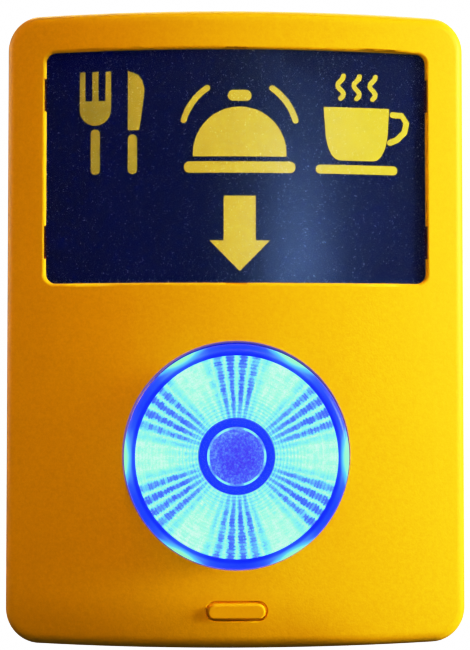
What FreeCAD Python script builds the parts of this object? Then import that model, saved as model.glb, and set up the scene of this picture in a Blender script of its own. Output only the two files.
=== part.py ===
import FreeCAD, Part
import Sketcher
import math
import os

# Wall-mounted service call button: bowed housing, sign window, lit push lens.
# Millimetres. X to the right, Z up, the front faces -Y, and the wall plane is Y = 0.
# The origin is the centre of the back face.

V = FreeCAD.Vector
doc = FreeCAD.newDocument("call_button")
sheet = doc.addObject("Spreadsheet::Sheet", "Sizes")

SIZES = [
    # housing outline and bow
    ("half_width", 57.0), ("half_height", 77.75), ("crown", 31.0), ("bow_radius", 207.0),
    ("corner_radius", 8.5), ("edge_radius", 3.3), ("wall", 2.4),
    ("cover_rear", 10.15), ("base_front", 9.85), ("base_inset", 0.3),
    ("base_floor", 2.5), ("base_wall", 2.4), ("lip_top", 12.0), ("lip_play", 0.25), ("lip_wall", 1.4),
    # sign recess, card and window
    ("sign_half", 46.9), ("sign_low", 10.7), ("sign_high", 67.7), ("sign_depth", 2.0),
    ("sign_back", 4.3), ("sign_corner", 2.5), ("sign_rim", 0.8), ("card_thick", 0.4),
    ("card_gap", 0.35), ("window_front", 0.45), ("window_gap", 0.2),
    ("notch_wide", 0.65), ("notch_half", 4.1), ("notch_offset", 18.2), ("notch_floor", 22.4),
    ("tab_half", 3.7), ("tab_out", 0.35), ("pry_half", 2.6), ("pry_high", 0.5),
    # push lens and its opening
    ("button_z", -31.0), ("opening_radius", 27.25), ("collar_radius", 29.4), ("collar_rear", 22.3),
    ("collar_front", 28.0), ("opening_rim", 0.35),
    ("lens_radius", 27.0), ("lens_front", 36.8), ("lens_inner", 34.5), ("lens_edge", 2.6),
    ("skirt_inner", 24.9), ("flange_radius", 28.75), ("flange_front", 22.0), ("flange_rear", 20.8),
    ("tube_outer", 9.1), ("tube_inner", 6.6), ("tube_rear", 22.6), ("pin_radius", 2.0),
    ("prism_inner", 9.3), ("prism_outer", 24.5), ("prism_rear", 33.3),
    # carrier, spring, switch
    ("board_front", 13.6), ("board_rear", 12.0), ("carrier_floor", 15.1), ("carrier_outer", 30.8),
    ("carrier_inner", 29.3), ("carrier_top", 22.2), ("plate_half_x", 39.5), ("plate_half_z", 27.5),
    ("post_outer", 6.3), ("post_inner", 5.0), ("post_top", 27.0), ("post_bore", 5.2),
    ("seat_front", 21.3), ("seat_rear", 20.1), ("seat_hole", 2.6),
    ("spring_radius", 4.25), ("spring_wire", 0.4), ("spring_turns", 7.0),
    ("switch_half", 3.5), ("switch_front", 19.6), ("plunger_radius", 1.6), ("plunger_front", 21.75),
    # light board and what it carries
    ("board_half_x", 41.0), ("board_low", -63.0), ("board_high", 4.0), ("screw_x", 36.0),
    ("screw_z", 24.0), ("led_ring", 17.5), ("led_radius", 2.5), ("led_front", 22.2),
    # screw cap, its well and the cover screw
    ("cap_z", -68.4), ("cap_half", 7.42), ("cap_slot", 2.33), ("well_floor", 15.2),
    ("well_rear", 12.6), ("cap_face_half", 6.93), ("cap_face_slot", 1.74), ("cap_front", 31.75),
    # wall side
    ("corner_hole_x", 40.0), ("corner_hole_z", 60.0), ("corner_hole", 2.25),
    ("box_hole_z", 41.65), ("box_hole", 2.1), ("rear_panel", 0.9), ("cable_z", 16.0), ("cable_bore", 4.0),
]
SIZE = {}
for row, (alias, value) in enumerate(SIZES, start=1):
    sheet.set("A%d" % row, alias)
    sheet.set("B%d" % row, "%.10g" % value)
    sheet.setAlias("B%d" % row, alias)
    SIZE[alias] = value
doc.recompute()


class Q:
    """A dimension: its value now, and the sheet expression that drives it."""

    def __init__(self, value, text):
        self.value = float(value)
        self.text = text

    @staticmethod
    def of(other):
        return other if isinstance(other, Q) else Q(other, "%.10g" % other)

    def _join(self, a, sign, b, value):
        return Q(value, "(%s %s %s)" % (a.text, sign, b.text))

    def __add__(self, other):
        o = Q.of(other)
        return self._join(self, "+", o, self.value + o.value)

    def __radd__(self, other):
        return Q.of(other) + self

    def __sub__(self, other):
        o = Q.of(other)
        return self._join(self, "-", o, self.value - o.value)

    def __rsub__(self, other):
        return Q.of(other) - self

    def __mul__(self, other):
        o = Q.of(other)
        return self._join(self, "*", o, self.value * o.value)

    def __rmul__(self, other):
        return Q.of(other) * self

    def __truediv__(self, other):
        o = Q.of(other)
        return self._join(self, "/", o, self.value / o.value)

    def __neg__(self):
        return Q(-self.value, "(0 - %s)" % self.text)


def S(name):
    return Q(SIZE[name], "Sizes.%s" % name)


NODES = {}


def new_body(label, at_button=False):
    body = doc.addObject("PartDesign::Body", label)
    body.Label = label
    body.AllowCompound = True
    if at_button:
        # pieces that are coaxial with the push lens are drawn about its own axis
        body.Placement = FreeCAD.Placement(V(0, 0, SIZE["button_z"]), FreeCAD.Rotation())
        body.setExpression("Placement.Base.z", "Sizes.button_z")
    NODES[label] = body
    return body


def sketch(body, role, name, offset=None):
    sk = body.newObject("Sketcher::SketchObject", name)
    plane = [o for o in body.Origin.OriginFeatures if o.Role == role][0]
    sk.AttachmentSupport = (plane, [""])
    sk.MapMode = "FlatFace"
    if offset is not None:
        o = Q.of(offset)
        sk.AttachmentOffset = FreeCAD.Placement(V(0, 0, o.value), FreeCAD.Rotation())
        sk.setExpression("AttachmentOffset.Base.z", o.text)
    return sk


def bind(sk, constraint, q):
    index = sk.addConstraint(constraint)
    sk.setExpression("Constraints[%d]" % index, Q.of(q).text)


def place_point(sk, geo, pos, x, y):
    """Hold one point of a sketch at (x, y) from the sketch's origin."""
    x, y = Q.of(x), Q.of(y)
    if x.value == 0.0 and y.value == 0.0:
        sk.addConstraint(Sketcher.Constraint("Coincident", geo, pos, -1, 1))
        return
    if x.value == 0.0:
        sk.addConstraint(Sketcher.Constraint("PointOnObject", geo, pos, -2))
    else:
        bind(sk, Sketcher.Constraint("DistanceX", -1, 1, geo, pos, x.value), x)
    if y.value == 0.0:
        sk.addConstraint(Sketcher.Constraint("PointOnObject", geo, pos, -1))
    else:
        bind(sk, Sketcher.Constraint("DistanceY", -1, 1, geo, pos, y.value), y)


def polygon(sk, points):
    pts = [(Q.of(x), Q.of(y)) for x, y in points]
    n = len(pts)
    first = sk.GeometryCount
    for i in range(n):
        (ax, ay), (bx, by) = pts[i], pts[(i + 1) % n]
        sk.addGeometry(Part.LineSegment(V(ax.value, ay.value, 0), V(bx.value, by.value, 0)))
    for i in range(n):
        sk.addConstraint(Sketcher.Constraint("Coincident", first + i, 2, first + (i + 1) % n, 1))
    for i in range(n):
        place_point(sk, first + i, 1, *pts[i])


def rectangle(sk, x0, x1, y0, y1):
    polygon(sk, [(x0, y0), (x1, y0), (x1, y1), (x0, y1)])


def circle(sk, x, y, r):
    x, y, r = Q.of(x), Q.of(y), Q.of(r)
    g = sk.addGeometry(Part.Circle(V(x.value, y.value, 0), V(0, 0, 1), r.value))
    place_point(sk, g, 3, x, y)
    bind(sk, Sketcher.Constraint("Radius", g, r.value), r)


def rounded(sk, x0, x1, y0, y1, r):
    """A rectangle with four tangent corner arcs."""
    x0, x1, y0, y1, r = [Q.of(q) for q in (x0, x1, y0, y1, r)]
    a, b, c, d, k = x0.value, x1.value, y0.value, y1.value, r.value
    f = sk.GeometryCount
    lines = [((a + k, c), (b - k, c)), ((b, c + k), (b, d - k)), ((b - k, d), (a + k, d)), ((a, d - k), (a, c + k))]
    for p, q in lines:
        sk.addGeometry(Part.LineSegment(V(p[0], p[1], 0), V(q[0], q[1], 0)))
    centres = [(x1 - r, y0 + r, -90), (x1 - r, y1 - r, 0), (x0 + r, y1 - r, 90), (x0 + r, y0 + r, 180)]
    for cx, cy, start in centres:
        sk.addGeometry(Part.ArcOfCircle(Part.Circle(V(cx.value, cy.value, 0), V(0, 0, 1), k),
                                        math.radians(start), math.radians(start + 90)))
    for i in range(4):
        sk.addConstraint(Sketcher.Constraint("Tangent", f + i, 2, f + 4 + i, 1))
        sk.addConstraint(Sketcher.Constraint("Tangent", f + 4 + i, 2, f + (i + 1) % 4, 1))
    for i, (cx, cy, start) in enumerate(centres):
        place_point(sk, f + 4 + i, 3, cx, cy)
        bind(sk, Sketcher.Constraint("Radius", f + 4 + i, k), r)


def pill(sk, cx, cy, half, r):
    """A slot outline along X: total length 2 x half, height 2 x r."""
    cx, cy, half, r = [Q.of(q) for q in (cx, cy, half, r)]
    a, b, y, k = cx.value - half.value + r.value, cx.value + half.value - r.value, cy.value, r.value
    f = sk.GeometryCount
    sk.addGeometry(Part.LineSegment(V(a, y - k, 0), V(b, y - k, 0)))
    sk.addGeometry(Part.ArcOfCircle(Part.Circle(V(b, y, 0), V(0, 0, 1), k), math.radians(-90), math.radians(90)))
    sk.addGeometry(Part.LineSegment(V(b, y + k, 0), V(a, y + k, 0)))
    sk.addGeometry(Part.ArcOfCircle(Part.Circle(V(a, y, 0), V(0, 0, 1), k), math.radians(90), math.radians(270)))
    for i in range(4):
        sk.addConstraint(Sketcher.Constraint("Tangent", f + i, 2, f + (i + 1) % 4, 1))
    place_point(sk, f + 1, 3, cx + half - r, cy)
    place_point(sk, f + 3, 3, cx - half + r, cy)
    bind(sk, Sketcher.Constraint("Radius", f + 1, k), r)
    bind(sk, Sketcher.Constraint("Radius", f + 3, k), r)


def bow_arc(sk, half, depth, flip=False):
    """One arc concentric with the housing's bow, depth mm inside its surface."""
    half, depth = Q.of(half), Q.of(depth)
    centre = S("bow_radius") - S("crown")
    r = S("bow_radius") - depth
    c, k, w = centre.value, r.value, half.value
    y = c - math.sqrt(k * k - w * w)
    g = sk.addGeometry(Part.Arc(V(-w, y, 0), V(0, c - k, 0), V(w, y, 0)))
    place_point(sk, g, 3, 0.0, centre)
    bind(sk, Sketcher.Constraint("Radius", g, k), r)
    return g, y


def arc_ends(sk, g):
    """Which of the arc's end points is the left one and which the right one."""
    arc = sk.Geometry[g]
    return (1, 2) if arc.StartPoint.x < arc.EndPoint.x else (2, 1)


def sector(sk, half, outer, inner):
    """A band between two arcs concentric with the bow, |x| < half."""
    g0, y0 = bow_arc(sk, half, outer)
    g1, y1 = bow_arc(sk, half, inner)
    w = Q.of(half).value
    left = sk.addGeometry(Part.LineSegment(V(-w, y0, 0), V(-w, y1, 0)))
    right = sk.addGeometry(Part.LineSegment(V(w, y0, 0), V(w, y1, 0)))
    l0, r0 = arc_ends(sk, g0)
    l1, r1 = arc_ends(sk, g1)
    sk.addConstraint(Sketcher.Constraint("Coincident", left, 1, g0, l0))
    sk.addConstraint(Sketcher.Constraint("Coincident", left, 2, g1, l1))
    sk.addConstraint(Sketcher.Constraint("Coincident", right, 1, g0, r0))
    sk.addConstraint(Sketcher.Constraint("Coincident", right, 2, g1, r1))
    sk.addConstraint(Sketcher.Constraint("Vertical", left))
    sk.addConstraint(Sketcher.Constraint("Vertical", right))
    bind(sk, Sketcher.Constraint("DistanceX", -1, 1, left, 1, -w), -Q.of(half))
    bind(sk, Sketcher.Constraint("DistanceX", -1, 1, right, 1, w), Q.of(half))


def bow_block(sk, half, rear):
    """The housing's plan section: flat at Y = -rear, bowed in front."""
    half, rear = Q.of(half), Q.of(rear)
    g, y = bow_arc(sk, half, 0.0)
    w, b = half.value, -rear.value
    back = sk.addGeometry(Part.LineSegment(V(-w, b, 0), V(w, b, 0)))
    left = sk.addGeometry(Part.LineSegment(V(-w, b, 0), V(-w, y, 0)))
    right = sk.addGeometry(Part.LineSegment(V(w, b, 0), V(w, y, 0)))
    l, r = arc_ends(sk, g)
    sk.addConstraint(Sketcher.Constraint("Coincident", back, 1, left, 1))
    sk.addConstraint(Sketcher.Constraint("Coincident", back, 2, right, 1))
    sk.addConstraint(Sketcher.Constraint("Coincident", left, 2, g, l))
    sk.addConstraint(Sketcher.Constraint("Coincident", right, 2, g, r))
    sk.addConstraint(Sketcher.Constraint("Horizontal", back))
    sk.addConstraint(Sketcher.Constraint("Vertical", left))
    sk.addConstraint(Sketcher.Constraint("Vertical", right))
    bind(sk, Sketcher.Constraint("DistanceX", -1, 1, back, 1, -w), -half)
    bind(sk, Sketcher.Constraint("DistanceX", -1, 1, back, 2, w), half)
    bind(sk, Sketcher.Constraint("DistanceY", -1, 1, back, 1, b), -rear)


def settle(body, feature, grows=None):
    """Recompute, and stop if the feature failed or changed nothing."""
    before = body.Tip.Shape.Volume if body.Tip is not None and body.Tip is not feature and not body.Tip.Shape.isNull() else None
    base = feature.BaseFeature
    if base is not None and not base.Shape.isNull():
        before = base.Shape.Volume
    doc.recompute()
    state = list(feature.State)
    if any(s in ("Invalid", "Error") for s in state) or feature.Shape.isNull():
        raise RuntimeError("%s.%s failed: %s" % (body.Label, feature.Label, state))
    after = feature.Shape.Volume
    if grows is not None and base is not None:
        if grows and not after > before + 1e-6:
            raise RuntimeError("%s.%s adds nothing (%.3f -> %.3f)" % (body.Label, feature.Label, before, after))
        if not grows and not after < before - 1e-6:
            raise RuntimeError("%s.%s cuts nothing (%.3f -> %.3f)" % (body.Label, feature.Label, before, after))
    body.Tip = feature
    return feature


def pad(body, sk, length, name, midplane=False, back=False):
    """Extrude. From the XZ plane a pad goes towards -Y, or towards +Y with back=True."""
    sk.Visibility = False
    f = body.newObject("PartDesign::Pad", name)
    f.Profile = (sk, [""])
    q = Q.of(length)
    f.Length = q.value
    f.setExpression("Length", q.text)
    if midplane:
        f.SideType = "Symmetric"
    f.Reversed = back
    return settle(body, f, True)


def pocket(body, sk, length, name, front=False, midplane=False):
    """Cut. From the XZ plane a pocket goes towards +Y, or towards -Y with front=True."""
    f = body.newObject("PartDesign::Pocket", name)
    f.Profile = (sk, [""])
    q = Q.of(length)
    f.Length = q.value
    f.setExpression("Length", q.text)
    if midplane:
        f.SideType = "Symmetric"
    f.Reversed = front
    return settle(body, f, False)


def revolve(body, sk, name):
    f = body.newObject("PartDesign::Revolution", name)
    f.Profile = (sk, [""])
    f.ReferenceAxis = (sk, ["V_Axis"])
    f.Angle = 360
    return settle(body, f, True)


def groove(body, sk, name):
    f = body.newObject("PartDesign::Groove", name)
    f.Profile = (sk, [""])
    f.ReferenceAxis = (sk, ["V_Axis"])
    f.Angle = 360
    return settle(body, f, False)


def edges_of(body, test):
    names = []
    for i, e in enumerate(body.Tip.Shape.Edges, start=1):
        if e.Length > 1e-4 and test(e):
            names.append("Edge%d" % i)
    return names


def fillet(body, names, radius, name, grows=None):
    if not names:
        raise RuntimeError("%s.%s finds no edges" % (body.Label, name))
    base = body.Tip
    f = body.newObject("PartDesign::Fillet", name)
    f.Base = (base, names)
    q = Q.of(radius)
    f.Radius = q.value
    f.setExpression("Radius", q.text)
    return settle(body, f, grows)


def chamfer(body, names, size, name):
    if not names:
        raise RuntimeError("%s.%s finds no edges" % (body.Label, name))
    base = body.Tip
    f = body.newObject("PartDesign::Chamfer", name)
    f.Base = (base, names)
    q = Q.of(size)
    f.Size = q.value
    f.setExpression("Size", q.text)
    return settle(body, f, None)


def mid(e):
    return e.valueAt((e.FirstParameter + e.LastParameter) / 2.0)


def near(a, b, tol=0.02):
    return abs(a - b) < tol


def along_y(e):
    if len(e.Vertexes) < 2:
        return False
    a, b = e.Vertexes[0].Point, e.Vertexes[-1].Point
    return near(a.x, b.x) and near(a.z, b.z) and abs(a.y - b.y) > 0.05


def bow_y(x, depth=0.0):
    k = SIZE["bow_radius"] - depth
    return SIZE["bow_radius"] - SIZE["crown"] - math.sqrt(k * k - x * x)


def on_bow(e, depth=0.0, tol=0.03):
    for t in (0.0, 0.3, 0.6, 1.0):
        p = e.valueAt(e.FirstParameter + t * (e.LastParameter - e.FirstParameter))
        if abs(p.y - bow_y(p.x, depth)) > tol:
            return False
    return True


def trim(body, x, z0, z1, r, name):
    """Cut a bowed sheet to a rounded rectangle seen from the front."""
    sk = sketch(body, "XZ_Plane", name + "_frame", S("crown") + 4.0)
    rectangle(sk, -(x + 6.0), x + 6.0, z0 - 6.0, z1 + 6.0)
    rounded(sk, -x, x, z0, z1, r)
    return pocket(body, sk, 20.0, name)


# ------------------------------------------------------------------ front cover
cover = new_body("front_cover")
sk = sketch(cover, "XY_Plane", "cover_section")
bow_block(sk, S("half_width"), S("cover_rear"))
pad(cover, sk, 2 * S("half_height"), "cover_block", midplane=True)
fillet(cover, edges_of(cover, lambda e: along_y(e) and near(abs(mid(e).x), SIZE["half_width"])
                       and near(abs(mid(e).z), SIZE["half_height"])), S("corner_radius"), "cover_corners")
fillet(cover, edges_of(cover, lambda e: on_bow(e)), S("edge_radius"), "cover_front_edge")

# shelled from behind to an even wall
rear = None
for i, face in enumerate(cover.Tip.Shape.Faces, start=1):
    if near(face.BoundBox.YMin, -SIZE["cover_rear"]) and near(face.BoundBox.YMax, -SIZE["cover_rear"]):
        rear = "Face%d" % i
shell = cover.newObject("PartDesign::Thickness", "cover_shell")
shell.Base = (doc.getObject("cover_front_edge"), [rear])
shell.Value = SIZE["wall"]
shell.setExpression("Value", "Sizes.wall")
shell.Mode = "Skin"
shell.Join = "Arc"
shell.Reversed = True
settle(cover, shell, False)

# tray behind the sign, bowed with the front
sk = sketch(cover, "XY_Plane", "tray_section", S("sign_low") - 2.2)
sector(sk, S("sign_half") + 2.3, 1.2, S("sign_back"))
pad(cover, sk, S("sign_high") - S("sign_low") + 4.4, "sign_tray")

# collar that guides the lens
sk = sketch(cover, "XZ_Plane", "collar_ring", S("collar_rear"))
circle(sk, 0, S("button_z"), S("collar_radius"))
circle(sk, 0, S("button_z"), S("opening_radius"))
pad(cover, sk, S("collar_front") - S("collar_rear"), "lens_collar")

# well of the cover screw
sk = sketch(cover, "XZ_Plane", "well_outline", S("well_rear"))
pill(sk, 0, S("cap_z"), S("cap_half") + 2.0, S("cap_slot") + 2.0)
pad(cover, sk, 29.0 - S("well_rear"), "screw_well")

# bosses for the board screws
sk = sketch(cover, "XZ_Plane", "boss_circles", S("carrier_floor"))
for sx in (-1, 1):
    for sz in (-1, 1):
        circle(sk, sx * S("screw_x"), S("button_z") + sz * S("screw_z"), 3.0)
pad(cover, sk, 26.6 - S("carrier_floor"), "board_bosses")

# two ribs under the top wall that the base's hooks hold
sk = sketch(cover, "XZ_Plane", "hook_ribs", 10.6)
for sx in (-1, 1):
    a, b = (18.0, 32.0) if sx > 0 else (-32.0, -18.0)
    rectangle(sk, a, b, S("half_height") - S("wall") - 2.3, S("half_height") - S("wall") + 0.6)
pad(cover, sk, 1.6, "hook_catches")

# stiffening ribs down both sides, behind the bow
for k, z in enumerate((-58.0, -46.0, -16.0, -4.0)):
    sk = sketch(cover, "XY_Plane", "side_ribs_%d" % k, z)
    for sx in (-1, 1):
        polygon(sk, [(sx * 47.0, -15.0), (sx * 55.2, -15.0), (sx * 55.2, -21.6), (sx * 47.0, -24.4)])
    pad(cover, sk, 1.2, "cover_ribs_%d" % k)

# sign recess with rounded corners and a soft rim
sk = sketch(cover, "XY_Plane", "recess_section", S("sign_low"))
sector(sk, S("sign_half"), -4.0, S("sign_depth"))
pocket(cover, sk, S("sign_high") - S("sign_low"), "sign_recess", front=True)
fillet(cover, edges_of(cover, lambda e: along_y(e) and near(abs(mid(e).x), SIZE["sign_half"])
                       and (near(mid(e).z, SIZE["sign_low"]) or near(mid(e).z, SIZE["sign_high"]))),
       S("sign_corner"), "recess_corners")
fillet(cover, edges_of(cover, lambda e: on_bow(e) and abs(mid(e).x) < SIZE["sign_half"] + 0.05
                       and SIZE["sign_low"] - 0.05 < mid(e).z < SIZE["sign_high"] + 0.05),
       S("sign_rim"), "recess_rim")

# snap slots at both sides of the recess, and a pry notch above and below it
sk = sketch(cover, "XZ_Plane", "snap_slots", S("crown") + 1.0)
middle = (S("sign_low") + S("sign_high")) / 2
for sx in (-1, 1):
    for sz in (-1, 1):
        zc = middle + sz * S("notch_offset")
        if sx > 0:
            rectangle(sk, S("sign_half") - 0.3, S("sign_half") + S("notch_wide"), zc - S("notch_half"), zc + S("notch_half"))
        else:
            rectangle(sk, -(S("sign_half") + S("notch_wide")), -(S("sign_half") - 0.3), zc - S("notch_half"), zc + S("notch_half"))
pocket(cover, sk, S("crown") + 1.0 - S("notch_floor"), "snap_slot_cut")
sk = sketch(cover, "XZ_Plane", "pry_notches", S("crown") + 1.0)
rectangle(sk, -S("pry_half"), S("pry_half"), S("sign_high") - 0.3, S("sign_high") + S("pry_high"))
rectangle(sk, -S("pry_half"), S("pry_half"), S("sign_low") - S("pry_high"), S("sign_low") + 0.3)
pocket(cover, sk, S("sign_depth") + 0.9, "pry_notch_cut")

# the lens opening, with a small rounded rim
sk = sketch(cover, "XZ_Plane", "opening_circle", S("crown") + 9.0)
circle(sk, 0, S("button_z"), S("opening_radius"))
pocket(cover, sk, S("crown") + 9.0 - 18.0, "lens_opening")
fillet(cover, edges_of(cover, lambda e: on_bow(e) and
                       near(math.hypot(mid(e).x, mid(e).z - SIZE["button_z"]), SIZE["opening_radius"], 0.05)),
       S("opening_rim"), "opening_edge")

# the screw well's hole: the oblong mouth, then the screw's clearance hole
sk = sketch(cover, "XZ_Plane", "well_mouth", S("crown") + 9.0)
pill(sk, 0, S("cap_z"), S("cap_half"), S("cap_slot"))
pocket(cover, sk, S("crown") + 9.0 - S("well_floor"), "well_cut")
fillet(cover, edges_of(cover, lambda e: on_bow(e) and abs(mid(e).z - SIZE["cap_z"]) < SIZE["cap_slot"] + 0.1
                       and abs(mid(e).x) < SIZE["cap_half"] + 0.1), 0.3, "well_edge")
sk = sketch(cover, "XZ_Plane", "well_hole", S("well_floor") + 1.0)
circle(sk, 0, S("cap_z"), 1.45)
pocket(cover, sk, 6.0, "well_hole_cut")

# pilot holes in the bosses, open to the rear
sk = sketch(cover, "XZ_Plane", "boss_pilots", S("carrier_floor") - 0.5)
for sx in (-1, 1):
    for sz in (-1, 1):
        circle(sk, sx * S("screw_x"), S("button_z") + sz * S("screw_z"), 1.1)
pocket(cover, sk, 9.0, "boss_pilot_cut", front=True)

# ------------------------------------------------------------------ rear base
base = new_body("rear_base")
bw, bh = S("half_width") - S("base_inset"), S("half_height") - S("base_inset")
br = S("corner_radius") - S("base_inset")
sk = sketch(base, "XZ_Plane", "base_outline")
rounded(sk, -bw, bw, -bh, bh, br)
pad(base, sk, S("base_front"), "base_block")
sk = sketch(base, "XZ_Plane", "base_hollow", S("base_front"))
rounded(sk, -(bw - S("base_wall")), bw - S("base_wall"), -(bh - S("base_wall")), bh - S("base_wall"), br - S("base_wall"))
pocket(base, sk, S("base_front") - S("base_floor"), "base_hollow_cut")
# inner lip that enters the cover
lw, lh = S("half_width") - S("wall") - S("lip_play"), S("half_height") - S("wall") - S("lip_play")
lr = S("corner_radius") - S("wall") - S("lip_play")
sk = sketch(base, "XZ_Plane", "lip_ring", 5.0)
rounded(sk, -lw, lw, -lh, lh, lr)
rounded(sk, -(lw - S("lip_wall")), lw - S("lip_wall"), -(lh - S("lip_wall")), lh - S("lip_wall"), lr - S("lip_wall"))
pad(base, sk, S("lip_top") - 5.0, "base_lip")
sk = sketch(base, "XZ_Plane", "lip_gaps", S("base_front"))
for sx in (-1, 1):
    a, b = (16.5, 33.5) if sx > 0 else (-33.5, -16.5)
    rectangle(sk, a, b, 70.0, 77.0)
pocket(base, sk, 4.0, "lip_gap_cut", front=True)
fillet(base, edges_of(base, lambda e: near(e.BoundBox.YMin, 0.0) and near(e.BoundBox.YMax, 0.0)), 0.8, "base_rear_edge")
# hooks that reach in front of the cover's ribs
for side, x0 in (("right", 20.0), ("left", -30.0)):
    sk = sketch(base, "YZ_Plane", "hook_%s" % side, x0)
    top = S("half_height") - S("wall")
    polygon(sk, [(-2.0, top - 5.0), (-14.6, top - 5.0), (-14.6, top - 2.1), (-13.9, top - 1.1),
                 (-12.7, top - 1.1), (-12.7, top - 3.0), (-2.0, top - 3.0)])
    pad(base, sk, 10.0, "base_hook_%s" % side)
# boss for the cover screw, pads round the wall holes, shallow floor ribs
sk = sketch(base, "XZ_Plane", "base_bosses", 2.0)
circle(sk, 0, S("cap_z"), 3.8)
pad(base, sk, S("well_rear") - 0.3 - 2.0, "cover_screw_boss")
sk = sketch(base, "XZ_Plane", "hole_pads", 2.0)
for sx in (-1, 1):
    for sz in (-1, 1):
        circle(sk, sx * S("corner_hole_x"), sz * S("corner_hole_z"), 5.0)
circle(sk, 0, S("box_hole_z"), 5.0)
circle(sk, 0, -S("box_hole_z"), 5.0)
pad(base, sk, 1.6, "wall_hole_pads")
sk = sketch(base, "XZ_Plane", "floor_ribs", 2.0)
for x in (-24.0, 22.8):
    rectangle(sk, x, x + 1.2, -56.0, 66.0)
for z in (-30.0, 28.0):
    rectangle(sk, -50.0, -25.0, z, z + 1.2)
    rectangle(sk, 24.3, 50.0, z, z + 1.2)
pad(base, sk, 1.8, "base_ribs")
# shallow panels sunk in the wall side, between flush bands
sk = sketch(base, "XZ_Plane", "rear_panels")
for sx in (-1, 1):
    a, b = (14.0, 50.5) if sx > 0 else (-50.5, -14.0)
    for z0, z1 in ((-51.0, -27.0), (-24.5, -1.5), (1.5, 24.5), (27.0, 51.0)):
        rounded(sk, a, b, z0, z1, 3.0)
pocket(base, sk, S("rear_panel"), "rear_panel_cut", front=True)
# holes
sk = sketch(base, "XZ_Plane", "wall_holes", 5.0)
for sx in (-1, 1):
    for sz in (-1, 1):
        circle(sk, sx * S("corner_hole_x"), sz * S("corner_hole_z"), S("corner_hole"))
circle(sk, 0, S("box_hole_z"), S("box_hole"))
circle(sk, 0, -S("box_hole_z"), S("box_hole"))
circle(sk, 0, S("cable_z"), 6.0)
pocket(base, sk, 8.0, "wall_hole_cut")
sk = sketch(base, "XZ_Plane", "grommet_seat", 1.3)
circle(sk, 0, S("cable_z"), 8.2)
pocket(base, sk, 4.0, "grommet_seat_cut")
sk = sketch(base, "XZ_Plane", "boss_pilot", 13.0)
circle(sk, 0, S("cap_z"), 1.2)
pocket(base, sk, 9.5, "cover_boss_pilot")

# ------------------------------------------------------------------ sign card and window
card = new_body("sign_card")
sk = sketch(card, "XY_Plane", "card_section", S("sign_low") - 1.0)
sector(sk, S("sign_half") + 1.0, S("sign_depth") - S("card_thick"), S("sign_depth"))
pad(card, sk, S("sign_high") - S("sign_low") + 2.0, "card_sheet")
trim(card, S("sign_half") - S("card_gap"), S("sign_low") + S("card_gap"), S("sign_high") - S("card_gap"),
     S("sign_corner") - S("card_gap"), "card_outline")

window = new_body("sign_window")
sk = sketch(window, "XY_Plane", "window_section", S("sign_low") - 1.0)
sector(sk, S("sign_half") + 1.0, S("window_front"), S("sign_depth") - S("card_thick"))
pad(window, sk, S("sign_high") - S("sign_low") + 2.0, "window_sheet")
trim(window, S("sign_half") - S("window_gap"), S("sign_low") + S("window_gap"), S("sign_high") - S("window_gap"),
     S("sign_corner") - S("window_gap"), "window_outline")
fillet(window, edges_of(window, lambda e: on_bow(e, SIZE["window_front"])), 0.3, "window_front_edge")
for name, zc in (("low", middle - S("notch_offset")), ("high", middle + S("notch_offset"))):
    sk = sketch(window, "XY_Plane", "tab_section_%s" % name, zc - S("tab_half"))
    sector(sk, S("sign_half") + S("tab_out"), 1.0, S("sign_depth") - S("card_thick"))
    pad(window, sk, 2 * S("tab_half"), "window_tabs_%s" % name)

# ------------------------------------------------------------------ push lens
lens = new_body("button_lens", at_button=True)
sk = sketch(lens, "XY_Plane", "lens_section")
polygon(sk, [(0, -S("lens_front")), (S("lens_radius"), -S("lens_front")), (S("lens_radius"), -S("flange_front")),
             (S("flange_radius"), -S("flange_front")), (S("flange_radius"), -S("flange_rear")),
             (S("skirt_inner"), -S("flange_rear")), (S("skirt_inner"), -S("lens_inner")),
             (S("tube_outer"), -S("lens_inner")), (S("tube_outer"), -S("tube_rear")),
             (S("tube_inner"), -S("tube_rear")), (S("tube_inner"), -S("lens_inner")),
             (S("pin_radius"), -S("lens_inner")), (S("pin_radius"), -(S("plunger_front") + 0.1)),
             (0, -(S("plunger_front") + 0.1))])
revolve(lens, sk, "lens_turned")
fillet(lens, edges_of(lens, lambda e: near(e.BoundBox.YMin, -SIZE["lens_front"], 0.05)
                      and near(e.BoundBox.YMax, -SIZE["lens_front"], 0.05)
                      and near(e.BoundBox.XMax, SIZE["lens_radius"], 0.2)), S("lens_edge"), "lens_round_edge")

prism = new_body("prism_disc", at_button=True)
sk = sketch(prism, "XY_Plane", "prism_section")
polygon(sk, [(S("prism_inner"), -S("lens_inner")), (S("prism_outer"), -S("lens_inner")),
             (S("prism_outer"), -S("prism_rear")), (S("prism_inner"), -S("prism_rear"))])
revolve(prism, sk, "prism_ring")

# ------------------------------------------------------------------ carrier behind the lens
carrier = new_body("button_carrier", at_button=True)
sk = sketch(carrier, "XY_Plane", "carrier_section")
polygon(sk, [(S("post_bore"), -S("board_front")), (S("carrier_outer"), -S("board_front")),
             (S("carrier_outer"), -S("carrier_top")), (S("carrier_inner"), -S("carrier_top")),
             (S("carrier_inner"), -S("carrier_floor")), (S("post_outer"), -S("carrier_floor")),
             (S("post_outer"), -S("post_top")), (S("post_inner"), -S("post_top")),
             (S("post_inner"), -S("seat_front")), (S("seat_hole"), -S("seat_front")),
             (S("seat_hole"), -S("seat_rear")), (S("post_bore"), -S("seat_rear"))])
revolve(carrier, sk, "carrier_turned")
sk = sketch(carrier, "XZ_Plane", "carrier_plate_outline", S("board_front"))
rounded(sk, -S("plate_half_x"), S("plate_half_x"), -S("plate_half_z"), S("plate_half_z"), 3.5)
circle(sk, 0, 0, 20.0)
pad(carrier, sk, S("carrier_floor") - S("board_front"), "carrier_plate")
sk = sketch(carrier, "XZ_Plane", "carrier_holes", S("carrier_floor") + 1.0)
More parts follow.
